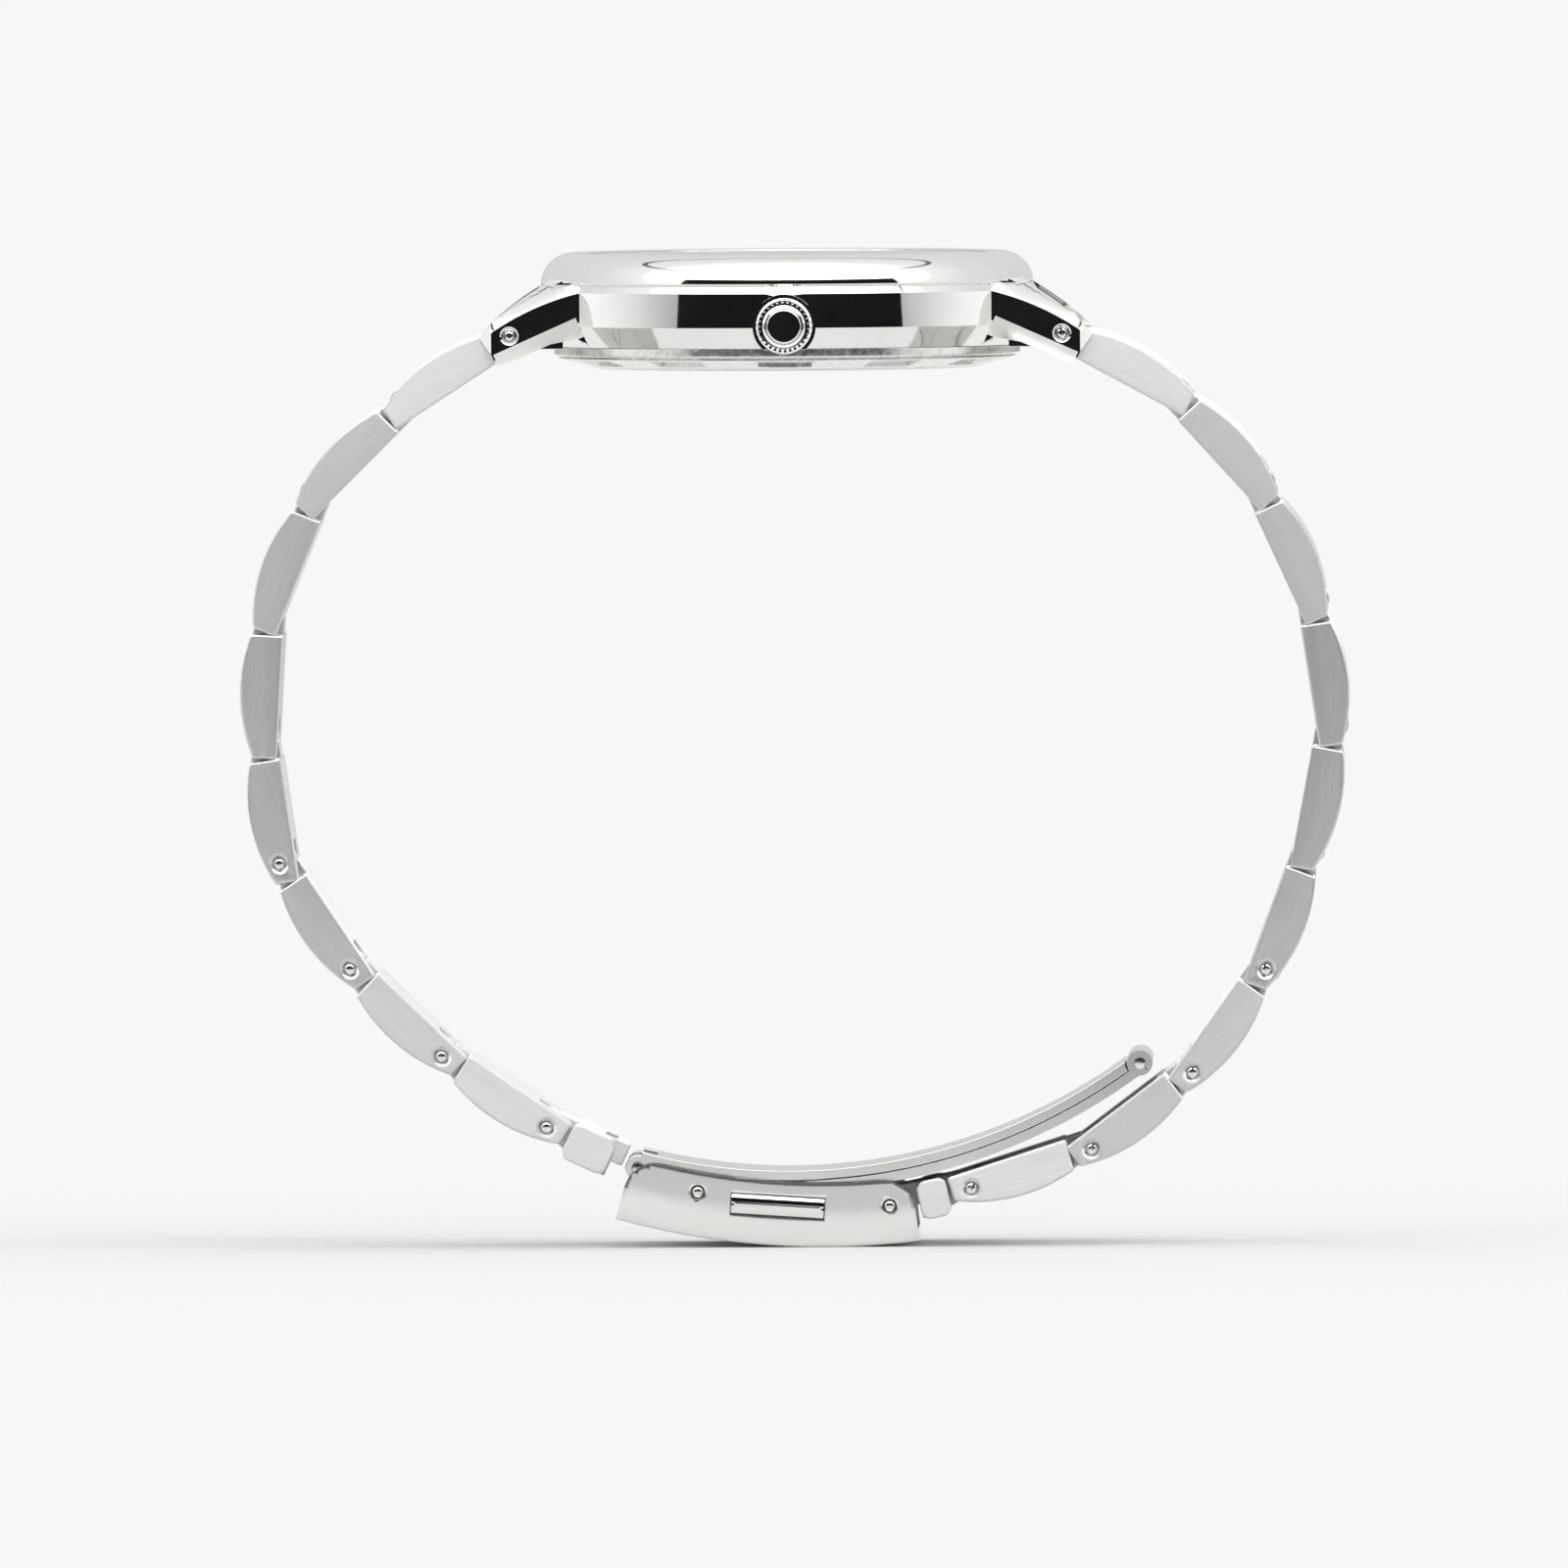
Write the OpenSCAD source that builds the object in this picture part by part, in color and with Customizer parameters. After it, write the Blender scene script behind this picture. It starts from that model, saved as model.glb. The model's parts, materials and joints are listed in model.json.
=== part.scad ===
// Steel wristwatch on a three-row bracelet with a push-button folding clasp.
// It stands as worn: dial up, 12 o'clock towards +X, crown towards -Y.
// The origin is the middle of the caseback's flat outer face.

/* [Case] */
// Radius of the case band
band_r = 21.4; // [20.4:0.1:22.4]
// Height of the case band's lower edge above the caseback face
band_low = 1.95; // [1.8:0.05:2.2]
// Height of the seam between case and bezel
band_top = 7.33; // [7.2:0.05:7.6]
// Size of the bevel along the band's upper edge
band_bevel = 0.7; // [0.3:0.05:0.8]
// Height of the sloped lower part of the band
band_undercut = 1.78; // [1.4:0.1:2.0]
// Radius of the cavity that holds the movement
cavity_r = 16.8; // [16.4:0.1:17]
// Height of the crown's axis
crown_z = 3.9; // [3.8:0.05:4.2]

/* [Lugs] */
// Distance of each bracelet bar from the dial axis
lug_x = 23.55; // [23.2:0.05:24.2]
// Height of the bracelet bars
lug_z = 3.02; // [2.9:0.05:3.3]
// Thickness of one lug
lug_t = 2.1; // [1.7:0.1:2.6]
// Radius of the curve along a lug's top
lug_arc_r = 22; // [20:0.5:24]
// Radius of the curve along the outer edge of a lug's top
lug_edge_r = 23.2; // [21:0.2:25]
// Distance from the bar to the lug's tip
lug_nose = 2.7; // [2.3:0.05:2.9]
// How far a lug's top slopes down from its inner to its outer edge
lug_slope = 1.1; // [0.6:0.1:1.4]
// Width of the polished bevel along the outer edge of a lug's top
lug_bevel = 0.38; // [0.3:0.02:0.6]
// Width of the polished bevel along a lug's underside and nose
lug_under = 0.65; // [0.4:0.05:0.9]

/* [Bezel and crystal] */
// Outer radius of the domed bezel
bezel_r = 21.05; // [20.5:0.05:21.3]
// Radius of the bezel's rounded shoulder
bezel_round = 2.75; // [2.4:0.05:3]
// How far the crystal reaches over the edge of the opening under it
crystal_lap = 0.4; // [0.3:0.05:0.6]
// Thickness of the crystal
crystal_t = 1.5; // [1.2:0.1:1.7]
// Height of the crystal's lower face
crystal_z = 8.25; // [8.15:0.05:8.4]

/* [Caseback] */
// Radius of the caseback's rim
back_r = 19.9; // [19.4:0.1:20.2]
// Radius of the caseback's flat middle
back_flat_r = 16.2; // [15.4:0.1:16.8]
// Number of key slots round the caseback
back_slots = 12; // [6:1:12]
// Thickness of the caseback's plate
back_t = 0.9; // [0.7:0.05:1.1]

/* [Dial and hands] */
// Height of the dial's face
dial_z = 6.6; // [6.5:0.05:6.7]
// Thickness of the dial
dial_t = 0.4; // [0.3:0.05:0.5]
// Length of the hour markers
marker_len = 2.6; // [1.6:0.1:3]
// Width of the hour markers
marker_w = 0.7; // [0.4:0.1:1]
// Length of the hour hand
hour_len = 9; // [7:0.5:10]
// Length of the minute hand
minute_len = 13; // [11:0.5:13.5]
// Length of the seconds hand
second_len = 13.4; // [11:0.2:13.8]

/* [Crown] */
// Radius over the crown's teeth
crown_r = 2.2; // [2:0.05:2.5]
// Length of the crown
crown_len = 2.6; // [2.2:0.1:3]
// Number of teeth round the crown
crown_teeth = 30; // [18:1:40]
// How far the crown pulls out
crown_pull = 1.2; // [0.8:0.1:1.3]
// Radius of the winding stem
stem_r = 0.5; // [0.4:0.05:0.6]

/* [Bracelet] */
// Distance from one hinge pin to the next
pitch = 10.8; // [10.3:0.05:11.2]
// Width across the bracelet
band_w = 20; // [18:0.5:22]
// Width of the centre row
centre_w = 8.6; // [7:0.2:10]
// Height of a link's domed outer face over the line of its pins
link_out = 1.95; // [1.7:0.05:2.1]
// Depth of a link's inner face under the line of its pins
link_in = 1.4; // [1.3:0.05:1.6]
// Radius of the curve along a link's outer face
link_arc_r = 14.5; // [14:0.5:18]
// Reach of a link past its own pin
link_end_r = 1.7; // [1.6:0.05:1.8]
// Radius of the hinge pins
pin_r = 0.5; // [0.4:0.05:0.6]
// Gap between neighbouring links
link_gap = 0.3; // [0.25:0.05:0.4]
// Gap between the rows of a link
row_gap = 0.1; // [0.05:0.05:0.2]

/* [Clasp] */
// Outer radius of the curved clasp cover
cover_r = 65.95; // [60:0.5:72]
// Height of the cover's side walls
cover_h = 5.45; // [5.2:0.05:5.8]
// Wall thickness of the cover
cover_t = 1; // [0.8:0.05:1.1]
// Rounding between the cover's outer face and its sides
cover_round = 0.9; // [0.5:0.1:0.9]
// Rounding of the corners of the cover's side walls
cover_corner = 1.5; // [1:0.1:2]
// Length of the cover from its lowest point to its 6 o'clock end
cover_left = 18.2; // [17.5:0.1:19]
// Length of the cover from its lowest point to its 12 o'clock end
cover_right = 7.95; // [7.5:0.05:8.5]
// Thickness of each folding blade
blade_t = 0.8; // [0.6:0.05:0.85]
// Width of the folding blades
blade_w = 16; // [14:0.5:16.5]
// Radius of the curve of the folding blades
blade_arc_r = 50; // [48:0.5:54]
// Length of the middle blade between its hinges
blade_len = 39.25; // [38.4:0.05:40]
// Length of a push button
button_len = 7.9; // [6:0.1:9]
// Height of a push button
button_h = 1.7; // [1.4:0.05:2]
// How far a push button travels
button_travel = 0.7; // [0.5:0.05:0.8]

/* [Hidden] */
$fn = 64;

// Clearances
run = 0.04;             // radial gap of a pin or shaft that turns in its bore
fit = 0.03;             // gap of a piece seated in another
lap = 1;                // how far a cutter reaches past what it cuts

// Directions of the links, in degrees below level, from the case to the clasp
dirs_6 = [32.9, 44.8, 67.7, 86.7, 98.2, 123.5, 136, 145.7, 155.2];
dirs_12 = [28.5, 47.8, 65.4, 81.4, 100.7, 110.5, 125.7, 143.1, 162.3, 168];
end_6_len = 8.55;       // from the last pin to the clasp's end pin
end_12_len = 7.13;
clasp_pin_in = 3.25;    // depth of the cover's 12 o'clock pin under the cover's outer face
clasp_pin_at = 5.7;     // its distance along that face from the cover's lowest point
cover_pin_in = 3.8;     // depth of the cover's blade pin
cover_pin_at = -11.68;  // and its distance
button_in_face = 3.4;   // depth of the push buttons' middle
button_at = -4.37;      // and its distance

// Colours
steel = "silver";
bright = "gainsboro";
dark = "#2b2f36";
brass = "#c8a860";

half_w = band_w / 2;
lug_in = half_w + 0.15;
lug_out = lug_in + lug_t;
centre_half = centre_w / 2;
row_in = centre_half + row_gap;
hole_r = pin_r + run;
link_start = link_end_r + link_gap;

function side_of(row) = row == 6 ? -1 : 1;
function dirs(row) = row == 6 ? dirs_6 : dirs_12;
function run_x(row, k) = k == 0 ? 0 : run_x(row, k - 1) + cos(dirs(row)[k - 1]);
function run_z(row, k) = k == 0 ? 0 : run_z(row, k - 1) + sin(dirs(row)[k - 1]);
// The x and z of hinge pin k, where pin 0 is the bar in the lugs
function pin_at(row, k) =
    [side_of(row) * (lug_x + pitch * run_x(row, k)), lug_z - pitch * run_z(row, k)];
function ahead(row, k, len) = pin_at(row, k)
    + len * [side_of(row) * cos(dirs(row)[k]), -sin(dirs(row)[k])];
function polar(c, r, a) = c + r * [sin(a), -cos(a)];

// Clasp points, from the 12 o'clock end of the bracelet
end_12 = ahead(12, 9, end_12_len);
end_6 = ahead(6, 8, end_6_len);
// The angle about the cover's centre that goes with a length along its outer face
function cover_turn(len) = len / cover_r * 180 / PI;
cover_c = end_12 - polar([0, 0], cover_r - clasp_pin_in, cover_turn(clasp_pin_at));
hinge_1 = polar(cover_c, cover_r - cover_pin_in, cover_turn(cover_pin_at));
knuckle_r = 1.1;
blade_gap = 0.1;
// The middle blade curls round hinge 1, which lies this far outside the parting line
hinge_1_drop = blade_gap / 2 + blade_t / 2 + knuckle_r - 0.1;
hinge_dir = 15.9;       // slope of the line between the two blade hinges
hinge_2 = hinge_1 + blade_len * [cos(hinge_dir), sin(hinge_dir)];

// Centre of two circles, of radius ra through a and rb through b, above the line a to b
function arc_centre(a, ra, b, rb) = let (
    d = norm(b - a), u = (b - a) / d, m = (d * d + ra * ra - rb * rb) / (2 * d),
    h = sqrt(ra * ra - m * m)) a + m * u + h * [-u[1], u[0]];
blade_c = arc_centre(hinge_1, blade_arc_r + hinge_1_drop, hinge_2, blade_arc_r);
function dir_from(c, p) = atan2(p[0] - c[0], c[1] - p[1]);
hinge_1_dir = dir_from(blade_c, hinge_1);
hinge_2_dir = dir_from(blade_c, hinge_2);
blade_end_dir = dir_from(blade_c, end_6);
blade_end = end_6;

// A cylinder along y from y0 to y1, about x and z
module rod(p, r, y0, y1) {
    translate([p[0], y1, p[1]]) rotate([90, 0, 0]) cylinder(r = r, h = y1 - y0);
}

// A cone along y, with radius r0 at y0 and r1 at y1
module taper_rod(p, r0, r1, y0, y1) {
    translate([p[0], y1, p[1]]) rotate([90, 0, 0]) cylinder(r1 = r1, r2 = r0, h = y1 - y0);
}

// An outline in x and z, made solid from y0 to y1
module slab(y0, y1) {
    translate([0, y1, 0]) rotate([90, 0, 0]) linear_extrude(height = y1 - y0) children();
}

module both_sides() {
    children();
    mirror([0, 1, 0]) children();
}

module both_ends() {
    children();
    mirror([1, 0, 0]) children();
}

module ring(r_out, r_in, z0, z1) {
    translate([0, 0, z0]) difference() {
        cylinder(r = r_out, h = z1 - z0);
        translate([0, 0, -lap]) cylinder(r = r_in, h = z1 - z0 + 2 * lap);
    }
}

// Part of a ring in x and z about c, between two radii and two directions
module arc_band(c, r0, r1, a0, a1) {
    translate([c[0], c[1]]) rotate(a0 - 90) rotate_slice(r0, r1, a1 - a0);
}

// A slice of a flat ring that starts at its own x axis
module rotate_slice(r0, r1, span) {
    reach = r1 * 1.5;
    difference() {
        circle(r = r1, $fn = 180);
        circle(r = r0, $fn = 180);
        rotate(span) translate([-reach, 0]) square([2 * reach, reach]);
        translate([-reach, -reach]) square([2 * reach, reach]);
    }
}

// The case

lug_tip = lug_x + lug_nose;
lug_c = arc_centre([lug_tip, lug_z - 0.12], lug_arc_r, [lug_x - 3, band_top], lug_arc_r);
lug_edge_c = arc_centre([lug_tip - 0.6, lug_z + 0.33], lug_edge_r,
    [lug_x - 4.5, band_top - band_bevel], lug_edge_r);
back_step = 0.85;       // how far the caseback reaches into the case
spigot_r = back_r - 1.5;
seal_t = 0.25;
dial_seat = dial_z - dial_t;

module lug_outline() {
    heel_r = 0.65;
    heel = [lug_tip - 2, lug_z - 1.87];
    intersection() {
        translate(lug_c) circle(r = lug_arc_r, $fn = 180);
        union() {
            translate(heel) circle(r = heel_r);
            polygon([[band_r * 0.7, band_top], [lug_tip, band_top], [lug_tip, lug_z],
                [lug_tip - 1.15, lug_z - 1.57], heel + heel_r * [cos(30), -sin(30)],
                heel + heel_r * [-sin(24), -cos(24)], [lug_x - 1.3 * lug_nose, lug_z - 0.75],
                [band_r * 0.7, lug_z + 0.2]]);
        }
    }
}

// A lug: its top slopes outwards, and a narrow bevel runs along the outer edge
module lug() {
    intersection() {
        slab(lug_in, lug_out) lug_outline();
        taper_rod(lug_edge_c, lug_edge_r + lug_slope, lug_edge_r, lug_in - fit, lug_out);
        taper_rod(lug_edge_c, lug_edge_r - lug_bevel + lug_t, lug_edge_r - lug_bevel, lug_in, lug_out);
        lug_nose_cut(lug_under);
        lug_belly_cut(lug_under);
    }
}

// Half space bevelled at 45 degrees along the lug's end
module lug_nose_cut(inset) {
    far = 4 * lug_x;
    translate([lug_tip, lug_out - inset, lug_z]) rotate([0, 0, 45])
        translate([-far, -far / 2, -far]) cube([far, far, 2 * far]);
}

// Half space bevelled at 45 degrees along the lug's underside
module lug_belly_cut(inset) {
    far = 2 * lug_x;
    translate([lug_tip - 2.25, lug_out - inset, lug_z - 2.46]) rotate([0, 24, 0]) rotate([45, 0, 0])
        translate([-far / 2, -far / 2, 0]) cube(far);
}

module band_section() {
    wall = cavity_r;
    polygon([[wall, band_low + back_step], [wall, band_top], [bezel_r - 0.1, band_top],
        [band_r, band_top - band_bevel], [band_r, band_low + band_undercut],
        [back_r + 0.1, band_low], [spigot_r + fit, band_low], [spigot_r + fit, band_low + back_step]]);
}

module case_body() {
    color(steel) difference() {
        union() {
            rotate_extrude($fn = 128) band_section();
            difference() {
                both_ends() both_sides() lug();
                cylinder(r = band_r - 1, h = 3 * band_top, center = true, $fn = 128);
            }
            crown_boss();
        }
        both_ends() both_sides() rod([lug_x, lug_z], pin_r + fit, lug_in - lap, lug_out + lap);
        both_ends() both_sides() taper_rod([lug_x, lug_z], pin_r, 2 * pin_r, lug_out - 0.3, lug_out + 0.2);
        rod([0, crown_z], tube_r + fit, -band_r - lap, -cavity_r + lap);
    }
}

// The crown and its tube

tube_r = 1;
boss_r = 2.7;
boss_y = band_r + 0.3;
tube_end = boss_y + 1.3;
crown_y = boss_y + 0.25;
crown_end = crown_y + crown_len;

module crown_boss() {
    intersection() {
        rod([0, crown_z], boss_r, -boss_y, -band_r + 1);
        translate([-boss_r, -boss_y, band_low]) cube([2 * boss_r, 3, band_top - band_low]);
    }
}

module crown_tube() {
    color(steel) difference() {
        rod([0, crown_z], tube_r, -tube_end, -cavity_r);
        rod([0, crown_z], stem_r + run, -tube_end - lap, -cavity_r + lap);
    }
}

module crown_teeth_outline() {
    step = 360 / crown_teeth;
    polygon([for (i = [0:crown_teeth - 1]) for (p = [[0, crown_r], [0.3, crown_r],
        [0.45, crown_r - 0.2], [0.85, crown_r - 0.2]])
        p[1] * [cos((i + p[0]) * step), sin((i + p[0]) * step)]]);
}

module crown() {
    face = crown_end;
    color(bright) difference() {
        intersection() {
            union() {
                translate([0, -crown_y, crown_z]) rotate([90, 0, 0])
                    linear_extrude(height = crown_len - 0.35) crown_teeth_outline();
                taper_rod([0, crown_z], crown_r - 0.45, crown_r - 0.1, -face, -face + 0.36);
                crown_cap();
            }
            taper_rod([0, crown_z], crown_r, crown_r + 3, -face, -face + 3);
        }
        rod([0, crown_z], tube_r + 0.35, -tube_end - 0.15, -crown_y + lap);
        rod([0, crown_z], stem_r + fit, -face + 0.8, -crown_y);
    }
}

// The polished dome on the crown's end
module crown_cap() {
    rod([0, crown_z], 1.5, -crown_end, -crown_end + 0.4);
}

module stem() {
    color(steel) {
        difference() {
            rod([0, crown_z], stem_r, -crown_end + 0.85, -lever_y + 2.2);
            // groove for the setting lever
            difference() {
                rod([0, crown_z], stem_r + lap, -lever_y - 0.3, -lever_y + 0.3);
                rod([0, crown_z], stem_r * 0.6, -lever_y - lap, -lever_y + lap);
            }
        }
    }
}

module crown_gasket() {
    color(dark) difference() {
        rod([0, crown_z], tube_r + 0.35 - fit, -tube_end + 0.1, -tube_end + 0.6);
        rod([0, crown_z], tube_r + fit, -tube_end - lap, -crown_y);
    }
}

module setting_lever() {
    color(brass) difference() {
        translate([-lever_half, -lever_y - 0.22, crown_z - lever_half])
            cube([lever_len, 0.44, 2 * lever_half]);
        rod([0, crown_z], stem_r * 0.6 + run, -lever_y - lap, -lever_y + lap);
        // open to one side, so that the fork slips over the stem
        translate([-lap - lever_half, -lever_y - lap, crown_z - stem_r * 0.6 - run])
            cube([lap + lever_half, 2 * lap, 2 * (stem_r * 0.6 + run)]);
    }
}

// Bezel, crystal and dial

gasket_t = 0.4;
crystal_r = cavity_r + crystal_lap;

module bezel_section() {
    top = band_top + fit;
    shoulder_x = bezel_r - bezel_round;
    difference() {
        union() {
            intersection() {
                translate([shoulder_x, top - 0.2]) circle(r = bezel_round, $fn = 96);
                translate([cavity_r, top]) square([bezel_r, bezel_round + lap]);
            }
            translate([cavity_r, top]) square([shoulder_x - cavity_r, crystal_z + crystal_t - 0.1 - top]);
        }
        translate([0, crystal_z - fit]) square([crystal_r + gasket_t + fit, crystal_t + lap]);
        square([cavity_r + 0.1, crystal_z + lap]);
    }
}

module bezel() {
    color(bright) rotate_extrude($fn = 128) bezel_section();
}

module crystal() {
    edge = 0.15;
    color("lightblue", 0.3) rotate_extrude($fn = 128) polygon([[0, crystal_z], [crystal_r - fit, crystal_z],
        [crystal_r - fit, crystal_z + crystal_t - edge], [crystal_r - edge - fit, crystal_z + crystal_t],
        [0, crystal_z + crystal_t]]);
}

module crystal_gasket() {
    color("white") ring(crystal_r + gasket_t, crystal_r, crystal_z, crystal_z + crystal_t - 0.35);
}

module rehaut() {
    low = dial_z + fit;
    high = crystal_z - fit;
    color(dark) rotate_extrude($fn = 128) polygon([[cavity_r - fit, low], [cavity_r - fit, high],
        [cavity_r - 0.6, high], [cavity_r - 1.6, low]]);
}

module dial() {
    color(dark) ring(cavity_r - fit, post_r + run, dial_seat, dial_z);
}

module hour_markers() {
    color(bright) for (i = [0:11]) rotate(30 * i) {
        r_out = cavity_r - 2.1;
        twin = i == 0 ? [-0.6, 0.6] : [0];
        for (off = twin) translate([r_out - marker_len, off * marker_w * 1.3 - marker_w / 2, dial_z])
            bar_marker();
    }
}

// A marker with bevelled long edges
module bar_marker() {
    tall = 0.4;
    rotate([90, 0, 90]) linear_extrude(height = marker_len) polygon([[0, 0], [marker_w, 0],
        [marker_w, tall * 0.5], [marker_w * 0.7, tall], [marker_w * 0.3, tall], [0, tall * 0.5]]);
}

// Hands, on one post with a step for each

post_r = 0.9;
minute_post_r = 0.6;
second_post_r = 0.3;
hour_z = dial_z + 0.45;
minute_z = hour_z + 0.4;
second_z = minute_z + 0.35;
hand_t = 0.18;
tip_share = 0.06;       // half the width of a hand's tip, as a share of its full width
hour_dir = 60;
minute_dir = -30;
second_dir = 150;

module hand_post() {
    color(brass) {
        translate([0, 0, plate_top - 0.1]) cylinder(r = post_r, h = hour_z + 0.25 - plate_top + 0.1);
        translate([0, 0, hour_z]) cylinder(r = minute_post_r, h = minute_z + 0.22 - hour_z);
        translate([0, 0, minute_z]) cylinder(r = second_post_r, h = second_z + 0.2 - minute_z);
    }
}

// A dauphine hand with a hub, at height z and turned to the direction dir from 12 o'clock
module hand(z, len, tail, wide, hub_r, bore_r, dir) {
    translate([0, 0, z]) rotate(-dir) difference() {
        union() {
            linear_extrude(height = hand_t) polygon([[-tail, 0], [0, -wide / 2],
                [len, -wide * tip_share], [len, wide * tip_share], [0, wide / 2]]);
            cylinder(r = hub_r, h = hand_t);
        }
        translate([0, 0, -lap]) cylinder(r = bore_r, h = hand_t + 2 * lap);
    }
}

module hour_hand() {
    color(bright) hand(hour_z, hour_len, 2, 1.9, 1.5, post_r + run, hour_dir);
}

module minute_hand() {
    color(bright) hand(minute_z, minute_len, 2, 1.6, 1.2, minute_post_r + run, minute_dir);
}

module second_hand() {
    color(bright) hand(second_z, second_len, 4, 0.5, 0.8, second_post_r + run, second_dir);
}

// Movement and caseback

plate_r = cavity_r - 3.8;
plate_low = 2.9;
plate_top = dial_seat - fit;
battery_r = 4.75;
battery_t = 2.1;
battery_at = [5.6, 3.2];
clamp_foot = 1.1;
clamp_w = 1.8;
clamp_t = 0.3;
clamp_rise = 0.55;
clamp_half = battery_r + 0.15 + clamp_foot;
coil_at = [-4, 5.6];
coil_len = 6;
coil_r = 0.95;
coil_cheek = 1.4;       // length of the block at each end of the coil
coil_wide = 2.6;
coil_gap = 0.2;
motor_r = 2.2;
motor_at = [-7.2, -1.6];
stem_slot = 3;
lever_y = plate_r - 2;
lever_half = 0.9;
lever_len = stem_slot + 0.6;
spigot_t = 1.1;

module movement_ring() {
    color("whitesmoke") difference() {
        ring(cavity_r - fit, plate_r + fit, plate_low, dial_seat - fit);
        rod([0, crown_z], tube_r + 0.4, -cavity_r - lap, -plate_r + lap);
    }
}

module main_plate() {
    color(brass) difference() {
        translate([0, 0, plate_low]) cylinder(r = plate_r, h = plate_top - plate_low);
        translate([battery_at[0], battery_at[1], plate_low - lap])
            cylinder(r = battery_r + fit, h = battery_t + lap + fit);
        translate([coil_at[0], coil_at[1], plate_low - lap]) coil_pocket();
        translate([motor_at[0], motor_at[1], plate_low - lap]) cylinder(r = motor_r + 0.1, h = 1.6 + lap);
        translate([-stem_slot / 2, -plate_r - lap, plate_low - lap])
            cube([stem_slot, plate_r - lever_y + 4.1 + lap, plate_top - plate_low - 0.6 + lap]);
        translate([-stem_slot / 2, -lever_y - crown_pull - 0.6, plate_low - lap])
            cube([stem_slot + 1.6, crown_pull + 1.2, plate_top - plate_low - 0.6 + lap]);
        translate([0, 0, plate_top - 0.1 - fit]) cylinder(r = post_r + fit, h = lap);
    }
}

// Room for the coil, from a cutter's reach under the plate
module coil_pocket() {
    half = coil_len / 2 + coil_cheek + coil_gap;
    wide = coil_wide + 3 * coil_gap;
    translate([-half, -wide / 2, 0]) cube([2 * half, wide, 2.2 + lap]);
}

module coil() {
    half = coil_len / 2;
    color("#b06a3c") translate([coil_at[0], coil_at[1], plate_low + 1]) {
        translate([-half, 0, 0]) rotate([0, 90, 0]) cylinder(r = coil_r, h = coil_len);
        for (x = [-half - coil_cheek, half]) translate([x, -coil_wide / 2, -0.9])
            cube([coil_cheek, coil_wide, 1.8]);
    }
}

module stepper_motor() {
    color("dimgray") difference() {
        translate([motor_at[0], motor_at[1], plate_low]) cylinder(r = motor_r, h = 1.5);
        translate([motor_at[0], motor_at[1], plate_low - lap]) cylinder(r = 0.7, h = lap + 0.8);
    }
}

module battery() {
    color(steel) translate([battery_at[0], battery_at[1], plate_low]) {
        cylinder(r = battery_r - 0.05, h = battery_t);
        translate([0, 0, -0.2]) cylinder(r = battery_r - 1.1, h = 0.3);
    }
}

module battery_clamp() {
    color(brass) translate([battery_at[0], battery_at[1] - clamp_w / 2, plate_low - clamp_rise]) {
        translate([-clamp_half, 0, 0]) cube([2 * clamp_half, clamp_w, clamp_t]);
        for (x = [-clamp_half, clamp_half - clamp_foot])
            translate([x, 0, 0]) cube([clamp_foot, clamp_w, clamp_rise - 0.02]);
    }
}

module caseback_section() {
    spigot_top = band_low + back_step - seal_t;
    rim_low = band_low - 0.8;
    polygon([[0, 0], [back_flat_r, 0], [back_flat_r + 0.8, 0.25], [back_r - 0.3, rim_low - 0.2],
        [back_r - 0.5, rim_low - 0.12], [back_r - 0.5, rim_low], [back_r - 0.1, rim_low],
        [back_r, rim_low + 0.1], [back_r, band_low - fit], [spigot_r, band_low - fit],
        [spigot_r, spigot_top], [spigot_r - spigot_t, spigot_top],
        [spigot_r - spigot_t, back_t + 0.6], [spigot_r - spigot_t - 0.8, back_t], [0, back_t]]);
}

module caseback() {
    color(steel) difference() {
        rotate_extrude($fn = 128) caseback_section();
        for (i = [0:back_slots - 1]) rotate(i * 360 / back_slots - 90)
            translate([back_flat_r + 0.9, -2.3, -lap]) cube([back_r, 4.6, lap + 0.8]);
    }
}

module caseback_gasket() {
    top = band_low + back_step;
    color(dark) ring(spigot_r - fit, spigot_r - spigot_t + 0.1, top - seal_t + fit, top - fit);
}

// The end pieces fill the space between the lugs, and the bars carry the bracelet

module end_pieces() {
    color(steel) both_ends() difference() {
        intersection() {
            slab(-lug_in + 0.05, lug_in - 0.05) difference() {
                translate(lug_c) circle(r = lug_arc_r - 0.35, $fn = 180);
                translate([lug_x, lug_z]) circle(r = link_end_r + link_gap);
            }
            translate([band_r * 0.7, -half_w, lug_z - 1.2]) cube([lug_x - band_r * 0.7, band_w, band_top]);
        }
        cylinder(r = band_r + fit, h = 3 * band_top, center = true, $fn = 128);
    }
}

module lug_pins() {
    color(steel) both_ends() rod([lug_x, lug_z], pin_r, -lug_out + 0.1, lug_out - 0.1);
}

// The bracelet. A link lies along its own x axis, from the pin at x = 0 to its own pin.

// Disc of the dome along a link's outer face, for a link whose own pin is at x1
module dome(x1) {
    translate([x1 - dome_back, link_out - link_arc_r]) circle(r = link_arc_r, $fn = 180);
}

// Side view of an outer link that starts at x0 and whose own pin is at x1
module link_outline(x0, x1) {
    tail = x1 + link_end_r;
    tall = link_in + link_out;
    intersection() {
        dome(x1);
        union() {
            translate([x0 + start_round, link_out - start_drop - start_round]) circle(r = start_round);
            translate([x0 + start_inner, start_inner - link_in]) circle(r = start_inner);
            translate([x0, start_inner - link_in])
                square([start_round, tall - start_drop - start_round - start_inner]);
            translate([x0 + start_inner, -link_in]) square([start_round, link_in]);
            translate([x0 + start_round, -link_in]) square([tail - x0 - start_round - tail_round, tall]);
            translate([tail - tail_round, tail_round - link_in]) circle(r = tail_round);
            translate([tail - tail_round, tail_round - link_in]) square([tail_round, tall]);
        }
    }
}

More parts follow.
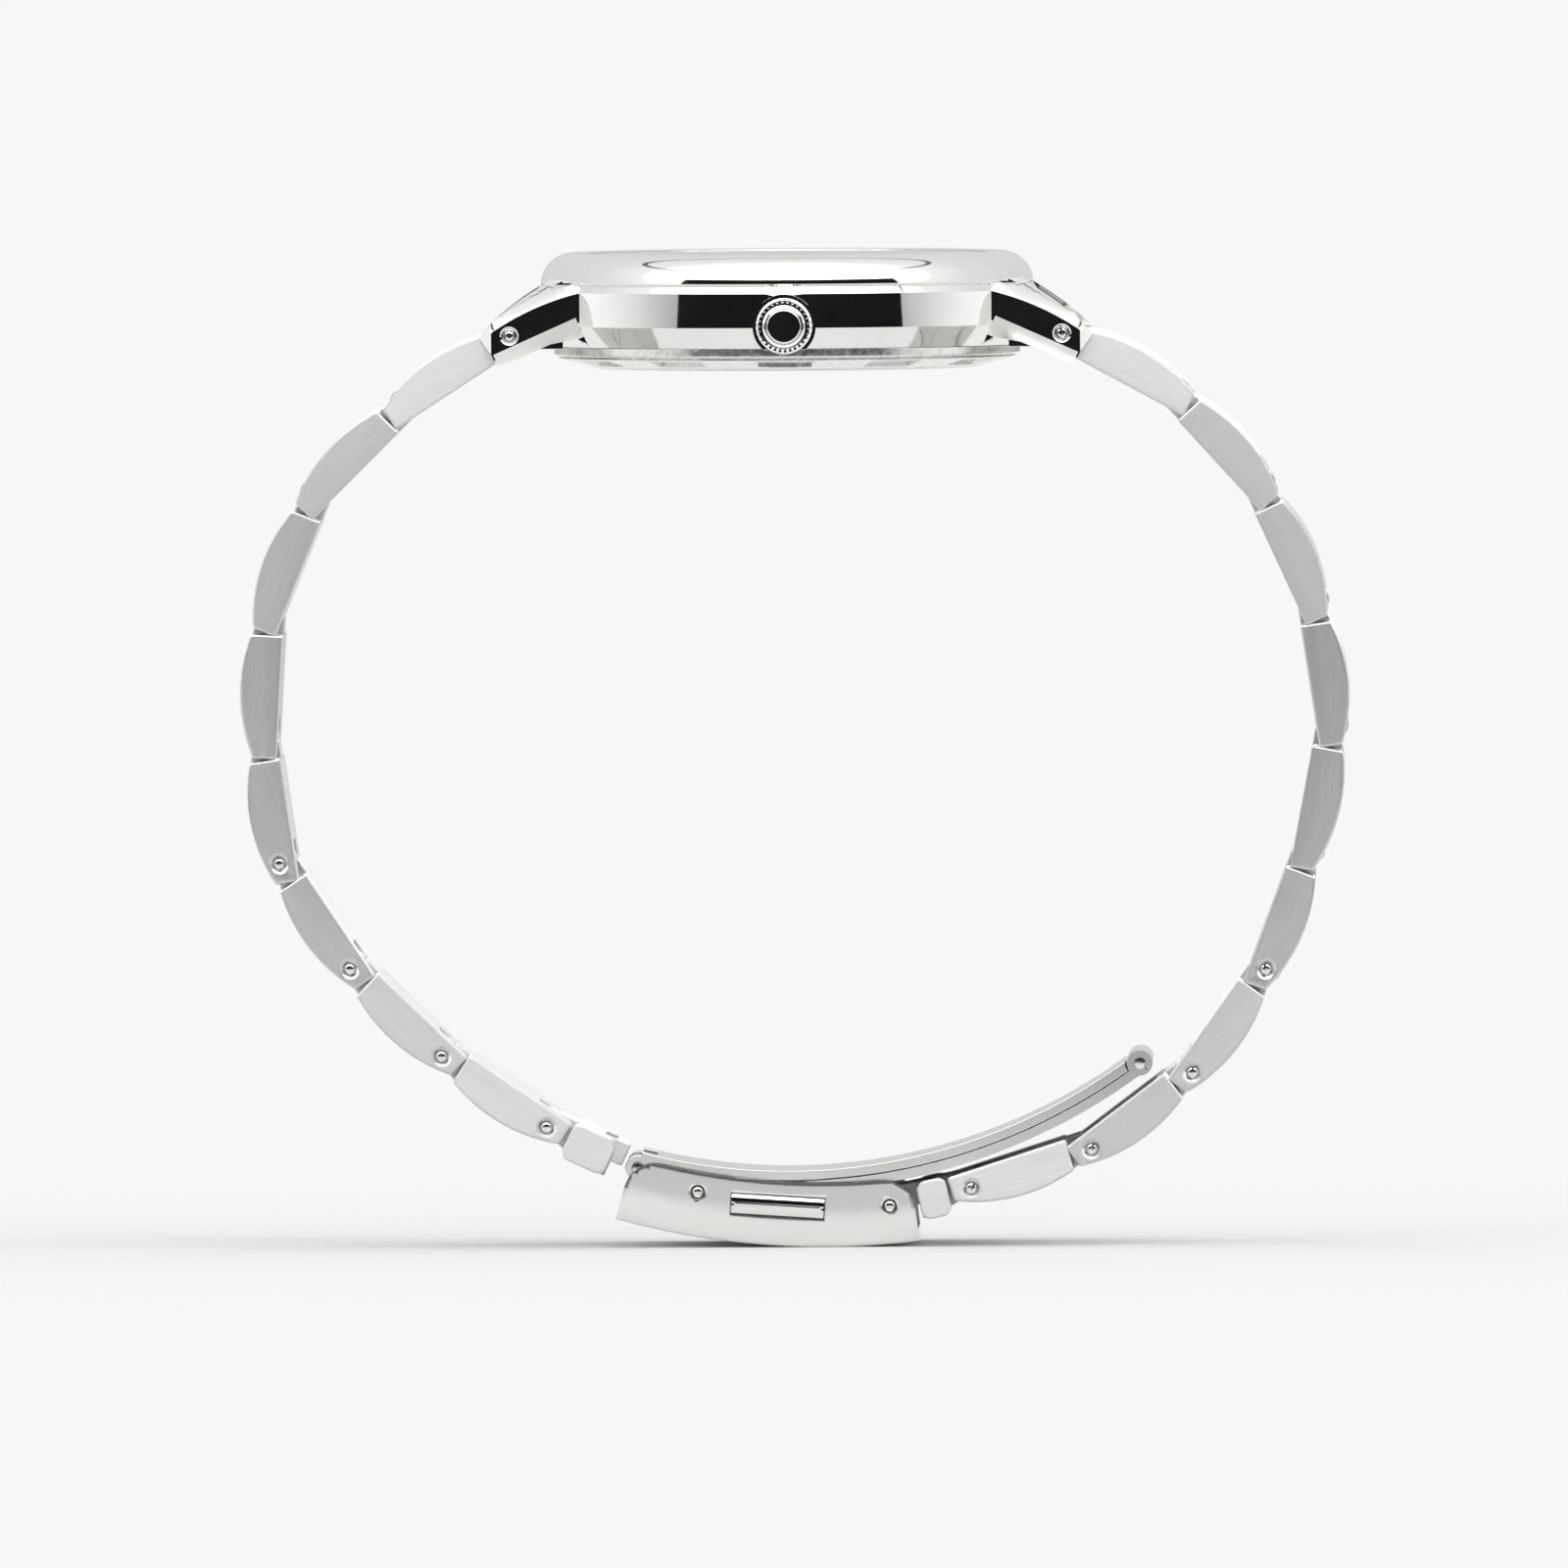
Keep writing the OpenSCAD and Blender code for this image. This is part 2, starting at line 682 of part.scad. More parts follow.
dome_back = 4.4;        // from a link's pin back to the top of its dome
start_round = 1.1;      // rounding of a link's case end, on the outer side
start_inner = 0.4;      // and on the inner side
start_drop = 0.38;      // how far that end's top lies below the top of the dome
tail_round = 0.6;       // rounding of a link's clasp end, on the inner side
cross_x = 4;
cross_half = half_w - 1;
tongue_r = 1.35;
tongue_gap = 0.35;

// Side view of a centre link, whose tongue turns about the pin at x = 0 and which ends at x1
module centre_outline(x1) {
    tall = 2 * link_in;
    circle(r = tongue_r);
    difference() {
        intersection() {
            dome(pitch);
            translate([0, -link_in]) square([x1, link_in + link_out]);
        }
        translate([0.2, -link_in - 0.8]) rotate(30) translate([-tall, -tall]) square(tall);
    }
}

module outer_links(x1, pinned) {
    both_sides() difference() {
        slab(row_in, half_w) link_outline(link_start, x1);
        if (pinned) rod([x1, 0], hole_r, 0, band_w);
        if (pinned) taper_rod([x1, 0], pin_r + 0.05, pin_r + 0.3, half_w - 0.1, half_w + 0.15);
        rod([cross_x, 0], pin_r + fit, 0, cross_half + fit);
    }
}

module centre_link(x1, wide) {
    difference() {
        union() {
            slab(-centre_half, centre_half) centre_outline(x1);
            if (wide) rod([0, 0], tongue_r, -half_w + fit, half_w - fit);
        }
        rod([0, 0], hole_r, -band_w, band_w);
        rod([cross_x, 0], pin_r + fit, -band_w, band_w);
    }
}

module cross_pin(x) {
    rod([x, 0], pin_r, -cross_half, cross_half);
}

module hinge_pin(x) {
    rod([x, 0], pin_r, -half_w + 0.05, half_w - 0.05);
}

// Puts a link at its place, k pins from the case
module at_link(row, k) {
    p = pin_at(row, k);
    translate([p[0], 0, p[1]]) mirror([row == 6 ? 1 : 0, 0, 0]) rotate([0, dirs(row)[k], 0]) children();
}

module link(row, k) {
    color(steel) at_link(row, k - 1) {
        outer_links(pitch, true);
        centre_link(pitch - tongue_r - tongue_gap, k == 1);
        cross_pin(cross_x);
        hinge_pin(pitch);
    }
}

end_6_outer = 4.4;      // where the short outer links end, from the last pin
end_12_outer = 2.9;

// What lies before x1, with rounded corners there
module rounded_end(x1) {
    r = 0.8;
    tall = link_in + link_out;
    translate([0, -link_in]) square([x1 - r, tall]);
    translate([0, r - link_in]) square([x1, tall - 2 * r]);
    for (z = [r - link_in, link_out - r]) translate([x1 - r, z]) circle(r = r);
}

// A short link that joins the bracelet to the clasp, with a tongue that reaches to x1
module end_link(row, k, outer_x, x1) {
    color(steel) at_link(row, k) {
        both_sides() difference() {
            slab(row_in, half_w) intersection() {
                link_outline(link_start, outer_x + 3 * link_end_r);
                rounded_end(outer_x + link_end_r);
            }
            rod([cross_x, 0], pin_r + fit, 0, cross_half + fit);
        }
        difference() {
            slab(-centre_half, centre_half) union() {
                centre_outline(outer_x + link_end_r);
                translate([outer_x, -link_in]) square([x1 - outer_x, 2 * link_in * 0.7]);
            }
            rod([0, 0], hole_r, -band_w, band_w);
            rod([cross_x, 0], pin_r + fit, -band_w, band_w);
            children();
        }
        cross_pin(cross_x);
    }
}

tongue_short = 0.85;    // gap left at the clasp's end pin, where the loop is open

module end_link_6() {
    end_link(6, 8, end_6_outer, end_6_len - pin_r - tongue_short);
}

module end_link_12() {
    end_link(12, 9, end_12_outer, end_12_len + tongue_r)
        rod([end_12_len, 0], hole_r, -band_w, band_w);
}

// The clasp

cover_in = half_w - cover_t;
plate_in = cover_r - cover_t;
wall_top = cover_r - cover_h;
cover_a0 = -cover_turn(cover_left);
cover_a1 = cover_turn(cover_right);
button_dir = cover_turn(button_at);
button_mid = polar(cover_c, cover_r - button_in_face, button_dir);

// The cover's outer form: a drum about its own centre with rounded rims
module cover_drum() {
    flat = half_w - cover_round;
    translate([cover_c[0], 0, cover_c[1]]) rotate([90, 0, 0]) rotate_extrude($fn = 180) {
        translate([0, -flat]) square([cover_r, 2 * flat]);
        translate([0, -half_w]) square([cover_r - cover_round, band_w]);
        for (s = [-1, 1]) translate([cover_r - cover_round, s * flat]) circle(r = cover_round);
    }
}

// Side view of a wall of the cover, with its two inner corners rounded
module cover_wall() {
    turn = asin(cover_corner / (wall_top + cover_corner));
    arc_band(cover_c, wall_top + cover_corner, cover_r, cover_a0, cover_a1);
    arc_band(cover_c, wall_top, cover_r, cover_a0 + turn, cover_a1 - turn);
    for (a = [cover_a0 + turn, cover_a1 - turn])
        translate(polar(cover_c, wall_top + cover_corner, a)) circle(r = cover_corner);
}

module clasp_cover() {
    color(steel) difference() {
        intersection() {
            union() {
                slab(-half_w, half_w)
                    arc_band(cover_c, plate_in, cover_r, cover_a0, cover_a1);
                both_sides() slab(cover_in, half_w) cover_wall();
                at_buttons() translate([-rib_long / 2, -rib_half, cover_t / 2 - button_in_face])
                    cube([rib_long, 2 * rib_half, button_in_face - cover_t / 2 + spring_r]);
            }
            cover_drum();
        }
        for (p = [hinge_1, end_12]) rod(p, pin_r + fit, -band_w, band_w);
        button_hole(0.1);
        for (p = [hinge_1, end_12])
            both_sides() taper_rod(p, pin_r + 0.05, pin_r + 0.3, half_w - 0.1, half_w + 0.15);
    }
}

module cover_pins() {
    color(bright) for (p = [hinge_1, end_12]) rod(p, pin_r, -half_w + 0.05, half_w - 0.05);
}

// Puts what is drawn about the middle of the buttons at its place
module at_buttons() {
    translate([button_mid[0], 0, button_mid[1]]) rotate([0, -button_dir, 0]) children();
}

// Openings for the push buttons through the side walls
module button_hole(gap) {
    at_buttons() both_sides() translate([-button_len / 2 - gap, cover_in - lap, -button_h / 2 - gap])
        cube([button_len + 2 * gap, cover_t + 2 * lap, button_h + 2 * gap]);
}

button_face = half_w + 0.25;
button_in = 5.2;
button_bow = 12;        // how far in and down the centre of the face's curve lies
lip_len = 4;
lip_t = 0.9;
lip_y = cover_in - 0.6;
spring_r = 0.6;
rib_half = 0.9;
rib_long = 3;

module button() {
    color(bright) at_buttons() {
        difference() {
            intersection() {
                translate([-button_len / 2, -button_face, -button_h / 2])
                    cube([button_len, button_face - button_in, button_h]);
                translate([0, button_bow - button_face, -button_bow]) rotate([0, 90, 0])
                    cylinder(r = button_bow * sqrt(2), h = button_len + lap, center = true, $fn = 180);
            }
            // pocket for the return spring
            rod([0, 0], spring_r + 0.15, -button_in - 1.5, -button_in + lap);
        }
        // latch lip that the blade catches on
        translate([-lip_len / 2, -lip_y, button_h / 2 - 0.05]) cube([lip_len, lip_t, 0.8]);
    }
}

module button_near() {
    button();
}

module button_far() {
    mirror([0, 1, 0]) button();
}

// Return spring between the cover's rib and a button, as the tube that its coils fill
module button_spring() {
    color("dimgray") at_buttons() difference() {
        rod([0, 0], spring_r, -button_in - 1.5, -rib_half);
        rod([0, 0], spring_r - 0.25, -button_in - 1.5 - lap, -rib_half + lap);
    }
}

module spring_near() {
    button_spring();
}

module spring_far() {
    mirror([0, 1, 0]) button_spring();
}

blade_half = blade_w / 2;
knuckle_w = blade_w / 4;

// A curved strip between two radii about the blades' centre
module blade_strip(r0, r1, a0, a1, y0, y1) {
    slab(y0, y1) arc_band(blade_c, r0, r1, a0, a1);
}

mid_r0 = blade_arc_r + blade_gap / 2;
mid_r1 = mid_r0 + blade_t;
bot_r1 = blade_arc_r - blade_gap / 2;
bot_r0 = bot_r1 - blade_t;
knuckle_gap = 0.15;

module middle_blade() {
    color(steel) difference() {
        union() {
            blade_strip(mid_r0, mid_r1, hinge_1_dir, hinge_2_dir, -blade_half, blade_half);
            rod(hinge_1, knuckle_r, -cover_in + knuckle_gap, cover_in - knuckle_gap);
            both_sides() rod(hinge_2, knuckle_r, knuckle_w + knuckle_gap, blade_half);
        }
        rod(hinge_1, hole_r, -band_w, band_w);
        rod(hinge_2, pin_r + fit, -band_w, band_w);
        rod(hinge_2, knuckle_r + knuckle_gap, -knuckle_w - knuckle_gap, knuckle_w + knuckle_gap);
        // notches that the push buttons' latch lips work in
        at_buttons() both_sides()
            translate([-lip_len / 2 - 0.3, lip_y - lip_t - button_travel - 0.2, 0])
                cube([lip_len + 0.6, band_w, 3]);
    }
}

module fold_pin() {
    color(bright) rod(hinge_2, pin_r, -blade_half + 0.05, blade_half - 0.05);
}

module bottom_blade() {
    end_back = 1.5;
    color(steel) difference() {
        union() {
            blade_strip(bot_r0, bot_r1, blade_end_dir, hinge_2_dir, -blade_half, blade_half);
            rod(hinge_2, knuckle_r, -knuckle_w, knuckle_w);
            both_sides() rod(blade_end, knuckle_r, centre_half + row_gap, blade_half);
        }
        rod(hinge_2, hole_r, -band_w, band_w);
        both_sides() rod(hinge_2, knuckle_r + knuckle_gap, knuckle_w, band_w);
        rod(blade_end, pin_r + fit, -band_w, band_w);
        // room for the end link's tongue
        slab(-centre_half - row_gap, centre_half + row_gap)
            arc_band(blade_c, bot_r0 - lap, bot_r1 + lap, blade_end_dir - 1, blade_end_dir + end_back);
    }
}

module blade_end_pin() {
    color(bright) rod(blade_end, pin_r, -blade_half + 0.05, blade_half - 0.05);
}

case_body();
bezel();
crystal();
crystal_gasket();
rehaut();
dial();
hour_markers();
hand_post();
movement_ring();
main_plate();
coil();
stepper_motor();
battery();
battery_clamp();
caseback();
caseback_gasket();
crown_tube();
end_pieces();
lug_pins();
setting_lever();
stem();
crown();
crown_gasket();
hour_hand();
minute_hand();
second_hand();
link(6, 1);  // link_6_1
link(6, 2);  // link_6_2
link(6, 3);  // link_6_3
link(6, 4);  // link_6_4
link(6, 5);  // link_6_5
link(6, 6);  // link_6_6
link(6, 7);  // link_6_7
link(6, 8);  // link_6_8
end_link_6();
link(12, 1);  // link_12_1
link(12, 2);  // link_12_2
link(12, 3);  // link_12_3
link(12, 4);  // link_12_4
link(12, 5);  // link_12_5
link(12, 6);  // link_12_6
link(12, 7);  // link_12_7
link(12, 8);  // link_12_8
link(12, 9);  // link_12_9
end_link_12();
clasp_cover();
cover_pins();
button_near();
button_far();
spring_near();
spring_far();
middle_blade();
fold_pin();
bottom_blade();
blade_end_pin();
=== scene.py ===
"""Steel wristwatch on a three-row link bracelet, dressed for a studio picture."""
import contextlib
import json
import math

import bmesh
import bpy
from mathutils import Matrix, Vector

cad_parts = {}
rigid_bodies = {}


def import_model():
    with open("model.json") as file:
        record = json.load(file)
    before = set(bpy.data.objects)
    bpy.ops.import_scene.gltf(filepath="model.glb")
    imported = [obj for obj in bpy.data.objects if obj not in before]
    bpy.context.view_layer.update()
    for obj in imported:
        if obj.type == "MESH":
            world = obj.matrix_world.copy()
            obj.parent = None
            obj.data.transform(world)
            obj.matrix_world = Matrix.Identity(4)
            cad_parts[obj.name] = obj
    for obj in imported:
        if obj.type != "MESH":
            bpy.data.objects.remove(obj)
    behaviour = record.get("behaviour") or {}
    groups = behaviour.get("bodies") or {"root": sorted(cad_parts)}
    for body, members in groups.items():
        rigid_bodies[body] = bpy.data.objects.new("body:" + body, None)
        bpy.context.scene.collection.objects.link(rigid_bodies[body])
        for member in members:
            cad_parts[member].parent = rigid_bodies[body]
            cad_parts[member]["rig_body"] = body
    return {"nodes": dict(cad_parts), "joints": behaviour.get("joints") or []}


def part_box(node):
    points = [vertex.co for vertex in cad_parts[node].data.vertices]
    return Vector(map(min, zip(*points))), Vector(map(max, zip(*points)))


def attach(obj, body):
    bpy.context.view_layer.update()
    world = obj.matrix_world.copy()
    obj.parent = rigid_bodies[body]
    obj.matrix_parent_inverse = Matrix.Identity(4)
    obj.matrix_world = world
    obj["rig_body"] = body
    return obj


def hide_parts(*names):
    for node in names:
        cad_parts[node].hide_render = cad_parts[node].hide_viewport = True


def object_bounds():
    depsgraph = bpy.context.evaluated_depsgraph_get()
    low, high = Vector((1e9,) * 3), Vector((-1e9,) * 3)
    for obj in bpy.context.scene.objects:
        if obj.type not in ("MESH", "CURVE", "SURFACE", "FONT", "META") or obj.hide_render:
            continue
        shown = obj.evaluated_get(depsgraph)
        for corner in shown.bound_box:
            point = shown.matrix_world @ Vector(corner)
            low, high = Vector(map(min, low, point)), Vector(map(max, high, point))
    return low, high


bl_info = {
    "name": "Steel wristwatch dressing",
    "version": (1, 0, 0),
    "blender": (4, 5, 0),
    "location": "View3D > Sidebar > Watch",
    "description": "Puts polished and brushed finishes on a packed steel wristwatch",
    "category": "Object",
}

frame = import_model()
LOW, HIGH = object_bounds()
NODES = frame["nodes"]
HINGES = {joint["name"]: Vector(joint["pos_m"]) for joint in frame["joints"] if "pos_m" in joint}
MM = 0.001
LINKS = {"6": 8, "12": 9}
# the lower edge of a lug's flat side, the lug's end, and the width of the slope planed there
LUG_ROOT, LUG_TIP = Vector((17.55, -12.25, 4.14)) * MM, Vector((24.85, -12.25, 0.89)) * MM
LUG_END, LUG_SLOPE = 25.6 * MM, 0.5 * MM
# the radius of the bezel's shoulder, and of the bore that the glass sits in
SHOULDER, BEZEL_BORE = 2.75 * MM, 17.64 * MM
# a link's outer rows start past its first pin and end past its last; the drum that domes them
# stands before the last pin; the middle row ends before it and is this wide to each side
ROW_START, ROW_END, DRUM_BACK, CENTRE_END, CENTRE_HALF = 2.0 * MM, 1.7 * MM, 4.4 * MM, 1.7 * MM, 4.3 * MM
# middle of the clasp cover's curve, its outer radius, and where it starts and ends about that middle
CLASP_MIDDLE, CLASP_RADIUS = Vector((3.005, 0, -8.916)) * MM, 65.945 * MM
COVER_FIRST, COVER_LAST = math.radians(-15.811), math.radians(6.907)
# half the cover's width, its height from rim to outer face, its wall, and its inner corners' radius
COVER_HALF, COVER_TALL, COVER_WALL, COVER_CORNER = 10 * MM, 5.45 * MM, 1.0 * MM, 2.6 * MM
# middle of the push buttons, how they lean, and the size of a button's side and of its slot
BUTTONS, BUTTON_LEAN = Vector((-1.137, 0, -71.328)) * MM, math.radians(3.797)
BUTTON_LONG, BUTTON_TALL, SLOT_LONG, SLOT_TALL = 7.9 * MM, 1.7 * MM, 8.1 * MM, 1.9 * MM
# radii in metres of the light tent's walls and roof, and the brightest level that its ramps can hold
TENT_RADIUS, ROOF_RADIUS, TOP_LEVEL = 1.0, 1.15, 4.0
# place and level of each step of the walls' light, once round the tent, starting behind the watch
WALL_LIGHT = ((0.0, 0.66), (0.07, 0.72), (0.14, 1.0), (0.19, 1.12), (0.25, 1.0), (0.3, 0.8), (0.355, 0.48),
              (0.645, 0.48), (0.7, 0.8), (0.75, 1.0), (0.81, 1.12), (0.86, 1.0), (0.93, 0.72), (1.0, 0.66))
# the same for the roof, from its far side to the bright patch over the camera; the place falls from 1
# at the patch's middle by PATCH_SHARE a metre, and the middle is PATCH_FORWARD / PATCH_SHARE metres
# towards the camera and PATCH_UP metres above the floor
ROOF_LIGHT = ((0.0, 0.7), (0.3, 0.82), (0.45, 1.0), (0.53, 1.8), (0.6, 2.9))
PATCH_SHARE, PATCH_FORWARD, PATCH_UP = 0.45, 0.43, 0.62


def middle_of(node):
    low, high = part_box(node)
    return (low + high) / 2


# Settings

def length_of(name, description, default, **limits):
    """A length setting, whose default is in millimetres."""
    return bpy.props.FloatProperty(name=name, description=description, default=default * MM,
                                   unit="LENGTH", **limits)


def colour_of(name, description, default):
    return bpy.props.StringProperty(name=name, description=description, default=default)


class WatchSteel(bpy.types.PropertyGroup):
    polished: colour_of("Polished steel", "Colour of the buffed steel", "#F4F3F1")
    brushed: colour_of("Brushed steel", "Colour of the brushed steel", "#F4F3F1")
    edge: length_of("Edge", "Width of the buffed edge on case parts", 0.07, min=0.02 * MM, max=0.2 * MM)
    rim: length_of("Link rim", "Width of the polished rim round a link's side", 0.3,
                   min=0.1 * MM, max=0.4 * MM)
    grain: length_of("Grain", "Width of one brush line", 0.09, min=0.03 * MM, max=0.3 * MM)


class WatchLink(bpy.types.PropertyGroup):
    out: length_of("Outer height", "Height of the outer face over the pins", 1.945)
    inner: length_of("Inner depth", "Depth of the inner face under the pins", 1.4)
    dome: length_of("Dome", "Radius of the outer face's curve", 14.5)
    half_width: length_of("Half width", "Half the bracelet's width", 10)
    row: length_of("Row", "Where the outer rows start, from the middle", 4.4)
    pin: length_of("Pin", "Radius of the hinge pins", 0.5)


class WatchDial(bpy.types.PropertyGroup):
    dial: colour_of("Dial", "Colour of the dial's lacquer", "#2B3038")
    ring: colour_of("Flange", "Colour of the ring round the dial", "#23272D")
    print: colour_of("Print", "Colour of the printed track", "#E8E8E4")


class WatchStage(bpy.types.PropertyGroup):
    lens: bpy.props.FloatProperty(name="Lens", description="Focal length of the camera in mm",
                                  default=1500.0, min=50.0, max=1600.0)
    backdrop: colour_of("Backdrop", "Colour of floor and backdrop", "#F6F6F6")
    sky: bpy.props.FloatProperty(name="Sky", description="Strength of the even light round the watch",
                                 default=0.93, min=0.1, max=2.0)


# Shop helpers

def linear(hex_colour):
    """An sRGB hex colour as linear red, green, blue and alpha."""
    channels = [int(hex_colour[i:i + 2], 16) / 255 for i in (1, 3, 5)]
    return [c / 12.92 if c <= 0.04045 else ((c + 0.055) / 1.055) ** 2.4 for c in channels] + [1.0]


def only(piece):
    """Makes one piece the selected and active one."""
    bpy.ops.object.select_all(action="DESELECT")
    piece.select_set(True)
    bpy.context.view_layer.objects.active = piece


def primitive(kind, name, **settings):
    """A new mesh primitive with its place in its mesh, as the only thing selected."""
    bpy.ops.object.select_all(action="DESELECT")
    getattr(bpy.ops.mesh, f"primitive_{kind}_add")(**settings)
    piece = bpy.context.object
    piece.name = name
    settle(piece)
    return piece


def cuboid(name, size, middle=(0, 0, 0)):
    piece = primitive("cube", name, size=1)
    piece.scale, piece.location = size, middle
    settle(piece)
    return piece


def rod(name, radius, length, middle, vertices, **settings):
    """A round bar that lies along the y axis."""
    return primitive("cylinder", name, vertices=vertices, radius=radius, depth=length, location=middle,
                     rotation=(math.pi / 2, 0, 0), **settings)


@contextlib.contextmanager
def editing(piece):
    """Edit mode on one piece, with all of it selected."""
    only(piece)
    bpy.ops.object.mode_set(mode="EDIT")
    bpy.ops.mesh.select_all(action="SELECT")
    yield
    bpy.ops.object.mode_set(mode="OBJECT")


def pick(piece, kind, test):
    """In edit mode, selects just the vertices, edges or faces that pass the test."""
    bpy.ops.mesh.select_mode(type=kind)
    bpy.ops.mesh.select_all(action="DESELECT")
    mesh = bmesh.from_edit_mesh(piece.data)
    for part in {"VERT": mesh.verts, "EDGE": mesh.edges, "FACE": mesh.faces}[kind]:
        if test(part):
            part.select_set(True)
    bmesh.update_edit_mesh(piece.data)


def cut(point, normal, fill=True):
    """In edit mode, cuts all of the piece by a plane and throws away what lies beyond it."""
    bpy.ops.mesh.select_all(action="SELECT")
    bpy.ops.mesh.bisect(plane_co=point, plane_no=normal, use_fill=fill, clear_outer=True, clear_inner=False)


def settle(piece):
    """Puts the piece's place into its mesh, so that the object itself sits at the origin."""
    only(piece)
    bpy.ops.object.transform_apply(location=True, rotation=True, scale=True)


def apply(piece, kind, **settings):
    """Adds a modifier with its settings and applies it."""
    only(piece)
    modifier = piece.modifiers.new(kind.lower(), kind)
    for key, value in settings.items():
        setattr(modifier, key, value)
    bpy.ops.object.modifier_apply(modifier=modifier.name)


def soften(piece, width, rim=-1, segments=2, angle=32):
    """Breaks every edge sharper than the angle; rim is the material slot of the new strips."""
    apply(piece, "BEVEL", width=width, segments=segments, limit_method="ANGLE",
          angle_limit=math.radians(angle), material=rim, miter_outer="MITER_ARC")


def take(other, target):
    """Joins another piece into the target."""
    only(target)
    other.select_set(True)
    bpy.ops.object.join()


def twin(piece, name, place=None):
    """A copy with its own mesh, moved by the matrix place."""
    copy = bpy.data.objects.new(name, piece.data.copy())
    bpy.context.scene.collection.objects.link(copy)
    if place is not None:
        copy.data.transform(place)
    return copy


def mirror(piece):
    """Moves the piece to the other side of the bracelet, with its faces still outward."""
    piece.data.transform(Matrix.Diagonal((1, -1, 1, 1)))
    with editing(piece):
        bpy.ops.mesh.flip_normals()


def remove(piece):
    bpy.data.objects.remove(piece)


def cut_by(piece, cutter):
    apply(piece, "BOOLEAN", operation="DIFFERENCE", object=cutter, solver="EXACT")
    remove(cutter)


def from_node(node, name):
    """A piece of its own with the shape of a CAD node, its loose triangles merged and its flats whole."""
    piece = bpy.data.objects.new(name, NODES[node].data.copy())
    bpy.context.scene.collection.objects.link(piece)
    piece.data.materials.clear()
    with editing(piece):
        bpy.ops.mesh.remove_doubles(threshold=1e-7)
        bpy.ops.mesh.dissolve_limited(angle_limit=math.radians(0.6))
    return piece


def finish(piece, node, *materials, replaces=True, smooth=32):
    """Shades the piece, gives it its finish, and lets it ride with the node that it dresses."""
    only(piece)
    bpy.ops.object.shade_smooth_by_angle(angle=math.radians(smooth))
    apply(piece, "WEIGHTED_NORMAL", keep_sharp=True, weight=100)
    if materials:
        piece.data.materials.clear()
        for material in materials:
            piece.data.materials.append(bpy.data.materials[material])
    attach(piece, NODES[node]["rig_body"])
    if replaces:
        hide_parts(node)
    return piece


def dress_node(node, name, finish_name, edge, segments=2):
    """Dresses a node whose CAD shape is right: its edges broken, and a finish on it."""
    piece = from_node(node, name)
    soften(piece, edge, segments=segments)
    finish(piece, node, finish_name)


def spin_round(piece, steps=256):
    """Spins a flat section's outline in the x-z plane round the dial's axis into a closed ring."""
    with editing(piece):
        bpy.ops.mesh.delete(type="ONLY_FACE")
        bpy.ops.mesh.select_all(action="SELECT")
        bpy.ops.mesh.spin(steps=steps, angle=math.tau, center=(0, 0, 0), axis=(0, 0, 1))
        bpy.ops.mesh.select_all(action="SELECT")
        bpy.ops.mesh.remove_doubles(threshold=1e-8)
        bpy.ops.mesh.normals_make_consistent(inside=False)


# Finishes

def add(tree, kind, settings=None, **inputs):
    """Adds a shader node; an input is a number, a colour or another node's output."""
    node = tree.nodes.new("ShaderNode" + kind)
    for key, value in (settings or {}).items():
        setattr(node, key, value)
    for key, value in inputs.items():
        name = key.replace("_", " ")
        socket = node.inputs[int(key[1:])] if key[0] == "i" and key[1:].isdigit() else node.inputs[name]
        if isinstance(value, bpy.types.NodeSocket):
            tree.links.new(value, socket)
        else:
            socket.default_value = value
    return node


def fresh(name, slot=""):
    """A new material, its empty node tree and the output that a shader goes to."""
    material = bpy.data.materials.new(name)
    material["slot"] = slot
    material.use_nodes = True
    tree = material.node_tree
    tree.nodes.clear()
    return material, tree, add(tree, "OutputMaterial").inputs[0]


def surface(name, slot, colours, noise_scale, stretch=(1, 1, 1), metallic=0.0, rough=(0.4, 0.5), bump=0.0,
            uv="", detail=3.0, **shader_settings):
    """A material whose colour, gloss and relief all follow one noise of a real size."""
    _, tree, out = fresh(name, slot)
    if uv:
        place = add(tree, "UVMap", {"uv_map": uv}).outputs[0]
    else:
        place = add(tree, "TexCoord").outputs["Object"]
    mapping = add(tree, "Mapping", Vector=place, Scale=stretch).outputs[0]
    noise = add(tree, "TexNoise", Vector=mapping, Scale=noise_scale, Detail=detail,
                Roughness=0.6).outputs["Fac"]
    spread = add(tree, "MapRange", Value=noise, From_Min=0.3, From_Max=0.7).outputs[0]
    colour = add(tree, "Mix", {"data_type": "RGBA"}, i0=spread, i6=linear(colours[0]),
                 i7=linear(colours[1])).outputs[2]
    gloss = add(tree, "MapRange", Value=spread, To_Min=rough[0], To_Max=rough[1]).outputs[0]
    shader = add(tree, "BsdfPrincipled", Base_Color=colour, Metallic=metallic, Roughness=gloss,
                 **shader_settings)
    if bump:
        relief = add(tree, "Bump", Height=spread, Strength=0.5, Distance=bump).outputs[0]
        tree.links.new(relief, shader.inputs["Normal"])
    tree.links.new(shader.outputs[0], out)
    return tree, shader


def darker(hex_colour, share):
    return "#" + "".join(f"{round(int(hex_colour[i:i + 2], 16) * share):02X}" for i in (1, 3, 5))


